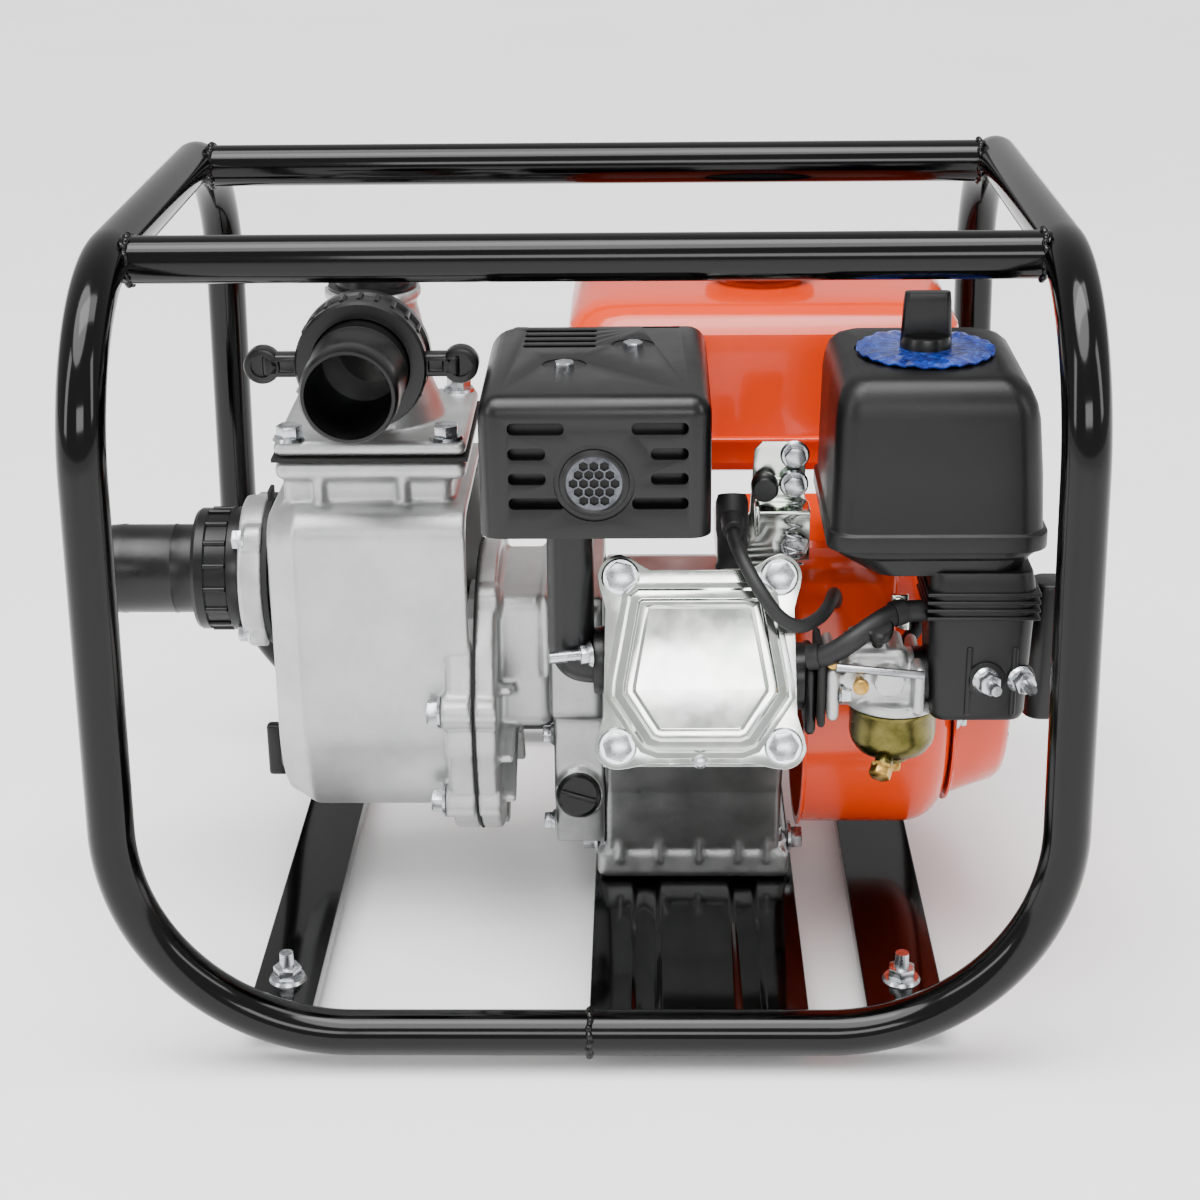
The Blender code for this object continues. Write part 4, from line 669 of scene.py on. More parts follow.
def make_adapter():
    x0, x1 = -62.7, -51.2
    ring = bar((x0, 0, CRANK.z), X, x1 - x0, 81.6, 96)
    neck = cube((x1 - 3, -45, 118), (-22.4, 42, 195), 7, 4)
    passage = cube((x1 - 4, -37, 90), (-10, 34, 187))
    cut(neck, passage)
    pad = cube((-29, -47, 148), (-22.4, 44, 197), 4)
    lugs = [bar(lug_spot(x0 + 0.7, angle), X, x1 - x0 + 0.5, 9, 32) for angle in LUG_ANGLES]
    webs = []
    for angle in (-100, -70, -125, 30, -30, 150):
        web = cube((x1 - 1, -2.2, 28), (x1 + 9, 2.2, 76), 1.2)
        turn = Matrix.Rotation(-math.radians(angle), 4, "X")
        web.data.transform(Matrix.Translation(at(CRANK)) @ turn @ Matrix.Translation(-ORIGIN))
        webs.append(web)
    hub = bar((x1 - 2, 0, CRANK.z), X, 12, 30, 48)
    united(ring, neck, pad, hub, *lugs, *webs)
    cut(ring, bar((x0 - 10, 0, CRANK.z), X, 90, 14, 40))
    cast(ring, 1.5, 3)
    done(ring, "pump_adapter_casting", ROOT, F["blasted"], ("pump_adapter",),
         smooth=50)
    joint = turned([(81.9, 0), (81.9, 0.8), (66, 0.8), (66, 0)], (-63.2, 0, CRANK.z), X, 96,
                   hollow=True)
    done(joint, "pump_joint_gasket", ROOT, F["gasket"])


def make_outlet_elbow():
    low, mid = 276.4, OUTLET_Z
    base = cube((OUTLET_X - HALF, -HALF, low), (OUTLET_X + HALF, HALF, low + 8.5), 4)
    tower = turned(
        [(37, low), (37, low + 5), (33, 296), (29, 306), (27.5, 318), (26.5, 330), (24.5, 340),
         (23, 346), (23.5, 349), (25.4, 350.5), (25.4, 355), (20, 355)],
        (OUTLET_X, 0, 0), Z, 72,
    )
    port = bar((OUTLET_X, 0, mid), -Y, 41, 25.5, 64)
    collar = bar((OUTLET_X, -35.5, mid), -Y, 5.5, 31, 64)
    nipple = bar((OUTLET_X, -40, mid), -Y, 16.8, 28.4, 64)
    gussets = [cube((OUTLET_X - 46, -2.2, low + 6), (OUTLET_X - 18, 2.2, 312), 1.2),
               cube((OUTLET_X + 18, -2.2, low + 6), (OUTLET_X + 46, 2.2, 312), 1.2)]
    for gusset, side in zip(gussets, (-1, 1)):
        x = OUTLET_X + side * 58
        blade = cube((x - 24, -6, low + 9), (x + 24, 6, 350))
        turned_by(blade, Y, side * -42, (OUTLET_X + side * 46, 0, low + 9))
        cut(gusset, blade)
    united(base, tower, port, collar, nipple, *gussets)
    cut(base, bar((OUTLET_X, 0, low - 5), Z, 100, 20, 48), bar((OUTLET_X, 0, mid), -Y, 100, 21, 48))
    cast(base, 1.3, 3)
    done(base, "outlet_elbow_casting", ROOT, F["blasted"], ("outlet_elbow",),
         smooth=50)
    half = HALF + 0.8
    sheet = cube((OUTLET_X - half, -half, TOP_Z + 0.2), (OUTLET_X + half, half, low - 0.2))
    cut(sheet, bar((OUTLET_X, 0, TOP_Z - 5), Z, 20, 34, 48))
    done(sheet, "outlet_gasket", ROOT, F["gasket"])


def make_coupling(name, face, direction, wings):
    """Hose tail and its coupling nut, with grip ribs or two dog-bone wings."""
    face, direction = Vector(face), Vector(direction)
    seat = face + direction * 16.3
    tail = turned(
        [(30.9, 0), (30.9, 5), (29.5, 6), (25.4, 6.4), (24.5, 9), (24.5, 22), (24.9, 23), (24.5, 25),
         (24.5, 50), (24.9, 51.5), (24.5, 56), (24.2, 61), (23, 62.9), (21.4, 63), (20.6, 61),
         (20.6, 0)],
        seat, direction, 80, hollow=True,
    )
    done(tail, name + "_tail_moulding", ROOT, F["nylon"], (name + "_hose_tail",),
         smooth=30)
    nut = turned(
        [(31.4, 0.4), (33.6, 0.4), (34, 1.5), (34, 7), (32.6, 8), (32.6, 19), (33.6, 20), (33.6, 24.6),
         (32.4, 26.6), (28, 27), (25.4, 27), (25.4, 23), (31.4, 22.6)],
        face, direction, 80, hollow=True,
    )
    pieces = [nut]
    if wings:
        y0, y1 = face.y - 25, face.y - 14
        for side in (-1, 1):
            inner, tip = face.x + side * 31, face.x + side * 50.3
            arm = cube((min(inner, tip), y0, face.z - 6), (max(inner, tip), y1, face.z + 6), 2.5)
            ear = bar((tip, y1, face.z), -Y, y1 - y0, 9.3, 40, rounding=1.5)
            cut(ear, bar((tip, y0 + 1.6, face.z), -Y, 5, 5.6, 32))
            dish = cube((face.x + side * 34 if side > 0 else tip + 8, y0 - 3, face.z - 3),
                        (tip - 8 if side > 0 else face.x + side * 34, y0 + 1.6, face.z + 3), 1)
            cut(arm, dish)
            pieces += [arm, ear]
    for i in range(24 if wings else 16):
        a = math.radians((15 if wings else 22.5) * i)
        if wings and abs(math.cos(a)) > 0.93:
            continue
        sideways = (math.cos(a), 0, math.sin(a)) if wings else (0, math.cos(a), math.sin(a))
        start = face + direction * 8 + Vector(sideways) * 32.8
        pieces.append(bar(start, direction, 11.5, 1.5, 12))
    done(merged(*pieces), name + "_nut_moulding", name + "_coupling_nut", F["nylon"],
         (name + "_coupling_nut",), smooth=30)
    washer = turned([(30, 0), (30, 0.8), (22, 0.8), (22, 0)], face + direction * 15.6, direction, 48,
                    hollow=True)
    done(washer, name + "_washer", ROOT, F["rubber"])


def make_pump_trim():
    x0, x1 = SUCTION_FACE, -177.8
    disc = bar((x0, 0, SUCTION_Z), X, x1 - x0, 40.5, 80, rounding=1.5)
    lugs = [bar(suction_spot(x0 + 4, angle), X, x1 - x0 - 4, 8, 32) for angle in SUCTION_ANGLES]
    nipple = bar((x0 - 16, 0, SUCTION_Z), X, 18, 28.4, 64)
    united(disc, nipple, *lugs)
    cut(disc, bar((x0 - 30, 0, SUCTION_Z), X, 60, 21, 48))
    cast(disc, 1.2, 2)
    done(disc, "suction_flange_casting", ROOT, F["blasted"], ("suction_flange",),
         smooth=50)
    gasket = turned([(42, 0), (42, 2.6), (27, 2.6), (27, 0)], (-177.4, 0, SUCTION_Z), X, 64,
                    hollow=True)
    tab = cube((-177.4, -6, SUCTION_Z + 38), (-174.8, 6, SUCTION_Z + 47), 1)
    done(merged(gasket, tab), "suction_gasket", ROOT, F["rubber"])
    z = 355.3
    plug = turned(
        [(18.8, -8.8), (18.8, 0), (23.4, 0), (23.4, 1.2), (19.4, 1.6), (19.2, 6), (17.6, 8.6), (12, 9)],
        (OUTLET_X, 0, z), Z, 56,
    )
    grip_top = box_mm("priming_plug")[1].z
    grip = cube((OUTLET_X - 14.8, -3.4, z + 6), (OUTLET_X + 14.8, 3.4, grip_top), 1.6)
    done(merged(plug, grip), "priming_plug_moulding", "priming_plug", F["nylon"],
         ("priming_plug",), smooth=30)
    seat = Vector((CASE_X0 - 3.3, -5, 88))
    head = turned([(7.6, -8.8), (7.6, 0), (11.8, 0), (11.8, 2.6), (10.6, 4)], seat, -X, 40)
    wing = cube((seat.x - 12.8, -8.3, 72.3), (seat.x - 2, -1.7, 103.7), 2, 3)
    done(merged(head, wing), "drain_plug_moulding", "pump_drain_plug", F["nylon"],
         ("pump_drain_plug",), smooth=30)
    big = bolt_template(12, 6.5, 9)
    corners = ((-157, -43.5), (-75, -43.5), (-75, 43.5), (-157, 43.5))
    fasten(big, "outlet_bolt", [((x, y, 284.9), Z, x + y) for x, y in corners])
    spots = [(lug_spot(CASE_X1 - 17.3, angle), -X, angle) for angle in LUG_ANGLES]
    fasten(big, "casing_bolt", spots)
    small = bolt_template(10, 6, 7.5)
    spots = [(suction_spot(x0 + 4.2, angle), -X, angle / 3) for angle in SUCTION_ANGLES]
    fasten(small, "suction_bolt", spots)
    throw_away(big, small)


# ---------------------------------------------------------------- engine block
BASE = ((0.7, -35, 19.8), (108.6, 152, 37.8))
BLOCK_X0, BLOCK_X1 = 6.0, 103.0
EARS = [(x, y) for x in (11, 98.4) for y in (-24, 138)]
OIL_BOSS, OIL_WAY = Vector((-8.5, -30, 74)), Vector((0, -0.94, 0.34)).normalized()


def bore_plan(pairs):
    return [tuple(on_bore(along, across, 0).yz) for along, across in pairs]


def fin(along, thick, low, high, x0, x1):
    """One thin cooling fin across the bore."""
    plan = [(along, low), (along + thick, low), (along + thick, high), (along, high)]
    return plate(bore_plan(plan), "X", x0, x1, 0.8)


def cylinder_bore():
    """The space the piston moves in."""
    return bar(on_bore(15, 0, 54.65), UP_BORE, 130, 34.6, 64)


def make_crankcase():
    base = cube(BASE[0], BASE[1], 4)
    outline = [(-32, 34), (-46, 80)] + bore_plan([(52, -40), (84, -40), (84, 40), (52, 44)])
    outline += [(12, 198), (62, 180), (80, 150), (80, 34)]
    body = plate(outline, "X", BLOCK_X0, BLOCK_X1)
    ribs = [cube((x, -36, 30), (x + 4, -8, 84), 1.5) for x in (12, 34, 56, 78, 94)]
    ears = [bar((x, y, 20), Z, 20, 8.8, 32) for x, y in EARS]
    united(body, base, *ribs, *ears)
    cut(body, bar((-5, 0, CRANK.z), X, 97, 44, 64), cylinder_bore())
    cast(body, 1.6, 3)
    done(body, "crankcase_casting", ROOT, F["engine_cast"], ("crankcase",),
         smooth=50)
    liner = bore_plan([(80, -38), (128, -38), (128, 38), (80, 38)])
    barrel = [plate(liner, "X", BLOCK_X0 + 6, BLOCK_X1 - 6, 2)]
    barrel += [fin(86 + 7.2 * i, 2.4, -46, 46, BLOCK_X0 + 0.5, BLOCK_X1 - 0.5) for i in range(6)]
    for piece in barrel:
        cut(piece, cylinder_bore())
    done(merged(*barrel), "cylinder_fins", ROOT, F["engine_cast"], smooth=30)
    head = [plate(bore_plan([(128.5, -38), (167, -38), (167, 40), (128.5, 40)]), "X", 14, 95, 2)]
    head += [fin(130 + 8 * i, 2.6, -44, 46, 10.5, 98.5) for i in range(5)]
    done(merged(*head), "head_casting", ROOT, F["engine_cast"], ("cylinder_head",),
         smooth=30)
    outline = [(-30, 41), (-48, 80), (-46, 120), (-46, 196), (44, 198), (62, 180), (80, 150),
               (80, 41)]
    side = plate(outline, "X", -22, 5.6)
    boss = bar(OIL_BOSS, OIL_WAY, 25.8, 13.3, 40)
    ledge = cube((-24, -50, 126), (4, -40, 190), 3)
    united(side, boss, ledge)
    cut(side, bar((-40, 0, CRANK.z), X, 60, 13.4, 40), bar((-8.5, -40, 77.6), OIL_WAY, 30, 9, 32))
    cast(side, 1.5, 3)
    done(side, "crankcase_cover_casting", ROOT, F["engine_cast"], ("crankcase_cover",),
         smooth=50)
    seat = OIL_BOSS + OIL_WAY * 26
    plug = turned([(7.8, -9.8), (7.8, 0.3), (12.4, 0.3), (12.4, 2), (11.6, 4.6), (10, 5.8)],
                  seat, OIL_WAY, 48)
    ridge = cube((-1.5, -10.5, 4), (1.5, 10.5, 8.8), 1)
    turn = OIL_WAY.to_track_quat("Z", "Y").to_matrix().to_4x4()
    turn = turn @ Matrix.Rotation(math.radians(75), 4, "Z")
    ridge.data.transform(Matrix.Translation(at(seat)) @ turn @ Matrix.Translation(-ORIGIN))
    done(merged(plug, ridge), "oil_plug_moulding", "oil_filler_plug", F["nylon"],
         ("oil_filler_plug",), smooth=30)
    bolt = bolt_template(12, 7, 9.5)
    fasten(bolt, "engine_bolt", [((x, y, 39.8), Z, x) for x, y in EARS])
    fasten(bolt, "drain_bolt", [((0.5, -14, 36), -X, 20), ((108.8, -14, 36), X, 5)])
    small = bolt_template(9, 5, 6.5)
    rim = ((-40, 60), (-38, 112), (-38, 186), (36, 188), (70, 60), (68, 140))
    fasten(small, "cover_bolt", [((-22.2, y, z), -X, z) for y, z in rim])
    throw_away(bolt, small)


def make_valve_cover():
    """Pressed and plated: ears at the corners, sides drawn in between them, and a stepped pan."""
    seat = 167.8
    x0, x1, a0, a1 = 3.6, 107.0, -46.5, 59.0
    ear = 11.2

    def side(start, end, inwards, waist):
        """From ear to ear, bowed in."""
        points = []
        for i in range(1, 16):
            t = i / 16
            bow = waist * min(1.0, min(t, 1 - t) * 6) ** 1.5
            points.append(tuple(Vector(start).lerp(Vector(end), t) + Vector(inwards) * bow))
        return points

    outline = arc((x1 - ear - 1.6, a1 - ear), ear, 0, 90, 8)
    outline += side((x1 - ear - 1.6, a1), (x0 + ear + 1.6, a1), (0, -1), 7.8)
    outline += arc((x0 + ear + 1.6, a1 - ear), ear, 90, 180, 8)
    outline += side((x0 + 1.6, a1 - ear), (x0, a0 + ear), (1, 0), 4.0)
    outline += arc((x0 + ear, a0 + ear), ear, 180, 270, 8)
    outline += side((x0 + ear, a0), (x1 - ear, a0), (0, 1), 2.8)
    outline += arc((x1 - ear, a0 + ear), ear, 270, 360, 8)
    outline += side((x1, a0 + ear), (x1 - 1.6, a1 - ear), (-1, 0), 4.0)
    flange = plate([(x, a) for x, a in outline], "Z", 0, 3, 0.9, 3)
    pan_plan = [(24, 45), (86.5, 45), (93, 40), (101, -4), (101.5, -12), (84, -38), (76, -41),
                (34, -41), (26, -38), (9, -12), (9.5, -4), (17.5, 40)]
    pan = plate(pan_plan, "Z", 1, 6)
    only(pan)
    bpy.ops.object.mode_set(mode="EDIT")
    bpy.ops.mesh.select_all(action="DESELECT")
    bpy.ops.object.mode_set(mode="OBJECT")
    top = at((0, 0, 5.9)).z
    for face in pan.data.polygons:
        face.select = all(pan.data.vertices[i].co.z > top for i in face.vertices)
    bpy.ops.object.mode_set(mode="EDIT")
    for inward, lift in ((3.0, 0.0), (1.4, 6.0), (4.0, 0.4), (1.2, 1.6), (3.4, 0.2), (1.6, -1.6)):
        bpy.ops.mesh.inset(thickness=inward * MM, depth=lift * MM)
    bpy.ops.object.mode_set(mode="OBJECT")
    rounded(pan, 0.8, 3, 20)
    turn = Matrix((X, ACROSS, UP_BORE)).transposed().to_4x4()
    place = Matrix.Translation(at(CRANK + UP_BORE * seat))
    pieces = merged(flange, pan)
    pieces.data.transform(place @ turn @ Matrix.Translation(-ORIGIN))
    done(pieces, "valve_cover_pressing", ROOT, F["zinc"], ("valve_cover",), smooth=25)
    bolt = bolt_template(13, 7, 9.5)
    spots = [(on_bore(seat + 3, a0 + ear, x), UP_BORE, x) for x in (x0 + ear, x1 - ear)]
    spots += [(on_bore(seat + 3, a1 - ear, x), UP_BORE, x) for x in (x0 + ear + 1.6, x1 - ear - 1.6)]
    fasten(bolt, "valve_cover_bolt", spots)
    small = bolt_template(6, 3, 4)
    fasten(small, "breather_screw", [(on_bore(seat + 3, a0 + 4.5, 55), UP_BORE, 0)])
    throw_away(bolt, small)


def smooth_path(points, steps=8):
    """Points along a smooth curve through the given ones."""
    knots = [Vector(p) for p in points]
    knots = [2 * knots[0] - knots[1]] + knots + [2 * knots[-1] - knots[-2]]
    path = []
    for a, b, c, d in zip(knots, knots[1:], knots[2:], knots[3:]):
        for i in range(steps):
            t = i / steps
            path.append((2 * b + (c - a) * t + (2 * a - 5 * b + 4 * c - d) * t * t
                         + (3 * b - a - 3 * c + d) * t ** 3) / 2)
    return path + [knots[-2]]


# The leads' routes, from one end to the other.
LEAD = [(72, -119.8, 259.2), (72.4, -128, 258.4), (76, -143, 254), (84, -156, 243), (93, -161, 232),
        (103, -159, 226), (113, -148, 226), (119, -134, 227), (123, -112, 224),
        (126, -91, 213), (127, -76, 205)]
BREATHER = [(107.2, -151, 206.5), (111, -151, 206.5), (118, -154, 209), (128, -155, 216),
            (140, -150, 223),
            (152, -142, 226), (165.5, -139, 226)]
FUEL = [(184, 44, 237.5), (184, 40, 229), (184, 10, 219), (184, -35, 213), (180, -62, 205),
        (170, -78, 193),
        (162, -87, 185), (158.5, -92.5, 181)]


def make_ignition():
    foot = on_bore(148, 15, 72)
    body = turned([(6.8, 0), (6.8, 21), (10.6, 22), (10.6, 35), (6, 36), (5.6, 50), (3, 52), (2.6, 63)],
                  foot, ACROSS, 32)
    done(body, "spark_plug_body", ROOT, F["ceramic"], ("spark_plug",))
    mouth = on_bore(148, 53, 72)
    boot = turned([(6.8, 0), (8.4, 0), (8.6, 2), (7.6, 4), (7.6, 16), (8.2, 20), (8.2, 34),
                   (7, 37.6), (4, 38)], mouth, ACROSS, 40)
    sleeve = turned([(6.6, 0), (6.2, 4), (5.8, 8), (5.4, 18), (5, 18.5)],
                    mouth + ACROSS * 27, (0, -1, -0.1), 32)
    done(merged(boot, sleeve), "plug_cap_moulding", ROOT, F["rubber"], ("spark_plug_cap",))
    lead = tube(smooth_path(LEAD), 3.4, 5)
    done(lead, "ignition_lead_cable", ROOT, F["rubber"], ("ignition_lead",),
         smooth=60)
    hose = tube(smooth_path(BREATHER), 5.4, 6)
    clips = []
    for i in (1, 5):
        centre = Vector(BREATHER[i])
        along = (Vector(BREATHER[i + 1]) - Vector(BREATHER[i - 1])).normalized()
        clips.append(bar(centre - along * 3, along, 6, 6.4, 32))
    done(hose, "breather_hose_moulding", ROOT, F["rubber"], ("breather_hose",),
         smooth=60)
    for i, clip in enumerate(clips):
        done(clip, f"breather_clip_{i + 1}", ROOT, F["rubber"])
    fuel = tube(smooth_path(FUEL), 4, 5)
    done(fuel, "fuel_hose_moulding", ROOT, F["rubber"], ("fuel_hose",), smooth=60)


# ---------------------------------------------------------------- muffler
GUARD = ((-51, -150, 268), (60.5, -12, 338))
ARRESTOR = Vector((4.4, -150, 296))
GUARD_SCREWS = ((-11, -92), (22.6, -56))
GAUZE_PITCH = 5.0


def make_muffler():
    (x0, y0, z0), (x1, y1, z1) = GUARD
    shell = cube((x0, y0, z0 - 25), (x1, y1, z1), 10, 6)
    corner = cube((x0 - 30, y1 - 12, z0 - 60), (x0 + 10, y1 + 40, z1 + 20))
    turned_by(corner, Z, 40, (x0 + 8, y1 - 4, z0))
    cut(shell, corner)
    inner = cube((x0 + 1.5, y0 + 1.5, z0 - 50), (x1 - 1.5, y1 - 1.5, z1 - 1.5), 9, 6)
    below = cube((x0 - 20, y0 - 20, z0 - 90), (x1 + 20, y1 + 20, z0))
    hole = bar((ARRESTOR.x, y0 - 6, ARRESTOR.z), Y, 20, 19.3, 64)
    tools = [inner, below, hole]
    for row in range(4):
        z = ARRESTOR.z + 27 - 12.4 * row
        reach = 27 if row in (0, 3) else 18
        for left in (ARRESTOR.x - 41, ARRESTOR.x + 45 - reach):
            tools.append(cube((left, y0 - 5, z - 3), (left + reach, y0 + 5, z + 3), 2.6, 4))
    for row in range(5):
        y = -20 - 9.6 * row
        tools.append(cube((-33, y - 2.4, z1 - 6), (4, y + 2.4, z1 + 6), 2, 4))
    tools.append(cube((27, -24, z1 - 6), (47, -19, z1 + 6), 2, 4))
    cut(shell, *tools)
    for x, y in GUARD_SCREWS:
        cut(shell, bar((x, y, z1 - 0.6), Z, 10, 11, 48))
    rounded(shell, 0.35, 2, 50)
    done(shell, "muffler_guard_pressing", ROOT, F["heat_paint"], ("muffler_guard",),
         smooth=40)
    for i, (x, y) in enumerate(GUARD_SCREWS):
        dish = turned([(11.4, 0), (11.4, -0.8), (9, -3.2), (2, -3.6), (2, -4.6), (9.8, -4.2),
                       (12.2, -1.4), (12.2, 0)], (x, y, z1 - 0.2), Z, 48, hollow=True)
        done(dish, f"guard_dimple_{i + 1}", ROOT, F["heat_paint"])
    bolt = bolt_template(9, 4.6, 6.5)
    spots = [((x, y, z1 - 3.8), Z, spin) for (x, y), spin in zip(GUARD_SCREWS, (10, 25))]
    fasten(bolt, "guard_bolt", spots)
    can = cube((x0 + 6, y0 + 6, z0 + 5), (x1 - 6, y1 - 6, z1 - 6), 9, 4)
    done(can, "muffler_can", ROOT, F["heat_paint"], ("muffler",))
    port = on_bore(148, 8, 9.7)
    flange = bar(port - X * 7, X, 7, 17, 40, rounding=1)
    bend = [port - X * 2, port - X * 9, port + Vector((-15, 0, 2)), port + Vector((-18, 0, 9)),
            port + Vector((-18, 0, 20)), port + Vector((-18, 0, 75))]
    pipe = tube(smooth_path(bend, 6), 11.5, 6)
    done(pipe, "exhaust_pipe", ROOT, F["heat_paint"], smooth=60)
    done(flange, "exhaust_flange", ROOT, F["heat_paint"])
    stud = bar(port + Vector((-9, -14, 9)), (-1, -0.25, 0), 20, 3, 20)
    done(stud, "exhaust_stud", ROOT, F["bolts"])
    fasten(bolt, "exhaust_nut", [(port + Vector((-8, -14, 9)), (-1, -0.25, 0), 0)])
    throw_away(bolt)
    seat = bar(ARRESTOR + Y * 1.2, Y, 5, 19.2, 64)
    ring = turned([(13.6, 0), (13.6, -1.6), (14.6, -2), (16.6, -0.8), (17.4, 1), (17.4, 2), (13, 2)],
                  ARRESTOR + Y * 1.2, Y, 64, hollow=True)
    done(seat, "arrestor_seat", ROOT, F["heat_paint"])
    done(ring, "arrestor_ring", ROOT, F["heat_paint"])
    gauze = bar(ARRESTOR - Y * 0.4, Y, 1.5, 13.5, 48)
    cells = []
    for q in range(-2, 3):
        for r in range(-2, 3):
            if abs(q + r) <= 2:
                x = ARRESTOR.x + GAUZE_PITCH * (q + r / 2)
                z = ARRESTOR.z + GAUZE_PITCH * r * math.sqrt(3) / 2
                cells.append(bar((x, y0 - 3, z), Y, 8, 2.45, 6))
    cut(gauze, merged(*cells))
    done(gauze, "arrestor_gauze", ROOT, F["gauze"], ("spark_arrestor",), smooth=25)
    # A black disc behind the gauze: painted shade standing for the muffler's dark, sooty inside as seen
    # through the holes.
    dark = bar(ARRESTOR + Y, Y, 0.8, 13.2, 48)
    done(dark, "arrestor_dark", ROOT, F["gasket"])


# ---------------------------------------------------------------- shroud, starter, tank
def make_shroud():
    depth, outer, wall = 81.0, 78.0, 2.5
    rim = [(outer - 22 + r, depth - 22 + h) for r, h in arc((0, 0), 22, 0, 90, 10)]
    back = [(outer - wall - 22 + r, depth - 22 - wall + h) for r, h in arc((0, 0), 22, 90, 0, 10)]
    profile = [(outer - wall, 0), (outer + 1.8, 0), (outer + 1.8, 1.2), (outer, 2.4)] + rim
    profile += [(50, depth), (50, depth - wall)] + back
    drum = turned(profile, (112, 0, CRANK.z), X, 96, hollow=True)
    hood = pillow([(214, 66, 160, -72, 12, 8), (228, 66, 160, -72, 12, 8),
                   (233, 67.5, 158.5, -70.5, 10.5, 7), (236, 71, 155, -67, 7, 6)])
    throat = cube((106, -72, 174), (160, 12, 226), 4)
    cut(hood, cube((68.5, -69.5, 200), (157.5, 9.5, 231)))
    inside = cube((108.5, -69.5, 160), (157.5, 9.5, 240))
    cut(throat, inside, bar((97, 0, CRANK.z), X, 71, 75, 64))
    done(merged(drum, hood, throat), "fan_shroud_pressing", ROOT, F["orange"], ("fan_shroud",),
         smooth=30)
    x0 = 193.3
    dish = turned(
        [(59, 3), (60, 0), (66, 0), (66, 1.2), (62.4, 3), (58, 16), (54.4, 27), (51, 31), (46, 33),
         (12, 33),
         (12, 30.5), (45, 30.5), (49, 28.5), (51.6, 26)],
        (x0, 0, CRANK.z), X, 96, hollow=True,
    )
    slots = []
    for i in range(14):
        slot_bar = cube((x0 + 8, -2, 40), (x0 + 45, 2, 49), 1.8, 4)
        turned_by(slot_bar, X, 360 / 14 * i, (0, 0, 0))
        slot_bar.data.transform(Matrix.Translation(Z * CRANK.z * MM))
        slots.append(slot_bar)
    cut(dish, merged(*slots))
    nose = cube((x0 + 8, -62, 165.7), (248.8, -16, 191.7), 5, 4)
    cut(nose, bar((x0 - 5, 0, CRANK.z), X, 34, 50, 64), bar((237.8, -70, 178.7), Y, 40, 3.7, 24))
    done(merged(dish, nose), "recoil_cover_pressing", ROOT, F["orange"], ("recoil_cover",),
         smooth=30)
    grip = pillow([(140.7, 228, 247.6, -83, -64, 8), (143, 226.4, 249.2, -84, -63, 9),
                   (176, 225.8, 249.8, -84, -63, 9), (214, 226.4, 249.2, -84, -63, 9),
                   (216.7, 228, 247.6, -83, -64, 8)], 1.5)
    rope = bar((237.8, -70, 178.7), Y, 52, 2.2, 16)
    done(merged(grip, rope), "starter_grip_moulding", "starter_grip", F["nylon"],
         ("starter_grip",))
    small = bolt_template(8, 4.5, 6)
    spots = [((x0 + 1, 63 * math.sin(a), CRANK.z + 63 * math.cos(a)), X, 0) for a in (0.6, 2.7, 4.8)]
    fasten(small, "recoil_bolt", spots)
    throw_away(small)


FILLER = (94, 100)


def make_tank():
    x0, x1, y0, y1, z0, seam, z1 = -16, 204, 24, 174, 240, 262, 334
    lower = pillow([
        (z0, x0 + 12, x1 - 12, y0 + 10, y1 - 10, 24), (z0 + 3, x0 + 4, x1 - 4, y0 + 3, y1 - 3, 26),
        (z0 + 8, x0 + 1, x1 - 1, y0, y1, 28), (seam - 1, x0, x1, y0, y1, 28),
    ])
    lip = (x0 - 4, x1 + 4, y0 - 4, y1 + 4, 30)
    flange = pillow([(seam - 1.3, *lip), (seam + 1.3, *lip)], 0.8)
    upper = pillow([
        (z, x0 + inset, x1 - inset, y0 + inset, y1 - inset, corner) for z, inset, corner in (
            (seam, 0, 28), (seam + 4, 0.6, 28), (z1 - 24, 1, 28), (z1 - 14, 3, 28),
            (z1 - 7, 8, 26), (z1 - 2.6, 15, 24), (z1 - 0.8, 24, 20), (z1, 40, 16),
        )
    ])
    neck = turned([(26, 0), (24, 3), (22, 4), (22, 7), (19, 7), (19, -12), (21, -12)],
                  (*FILLER, z1 - 1.2), Z, 64, hollow=True)
    cut(upper, bar((*FILLER, z1 - 20), Z, 40, 20, 48))
    done(merged(lower, flange, upper, neck), "fuel_tank_pressing", ROOT, F["orange"], ("fuel_tank",),
         smooth=24)
    cap = turned([(17.6, -5.8), (17.8, 0), (30.6, 0), (31, 1.2), (31, 9), (29.4, 12), (25, 13.6),
                  (12, 14)], (*FILLER, 340.3), Z, 72)
    grips = [bar((x, y, 341), Z, 8.4, 1.2, 12) for x, y in arc(FILLER, 29.9, 0, 340, 17)]
    done(merged(cap, *grips), "fuel_cap_moulding", "fuel_cap", F["nylon"], ("fuel_cap",),
         smooth=30)


# ---------------------------------------------------------------- intake side
BOWL_X, BOWL_Y = 153, -128
BOWL_DRAIN_WAY = Vector((-0.3, -0.75, -0.6))
KNOB_X, KNOB_Y = 165.5, -96


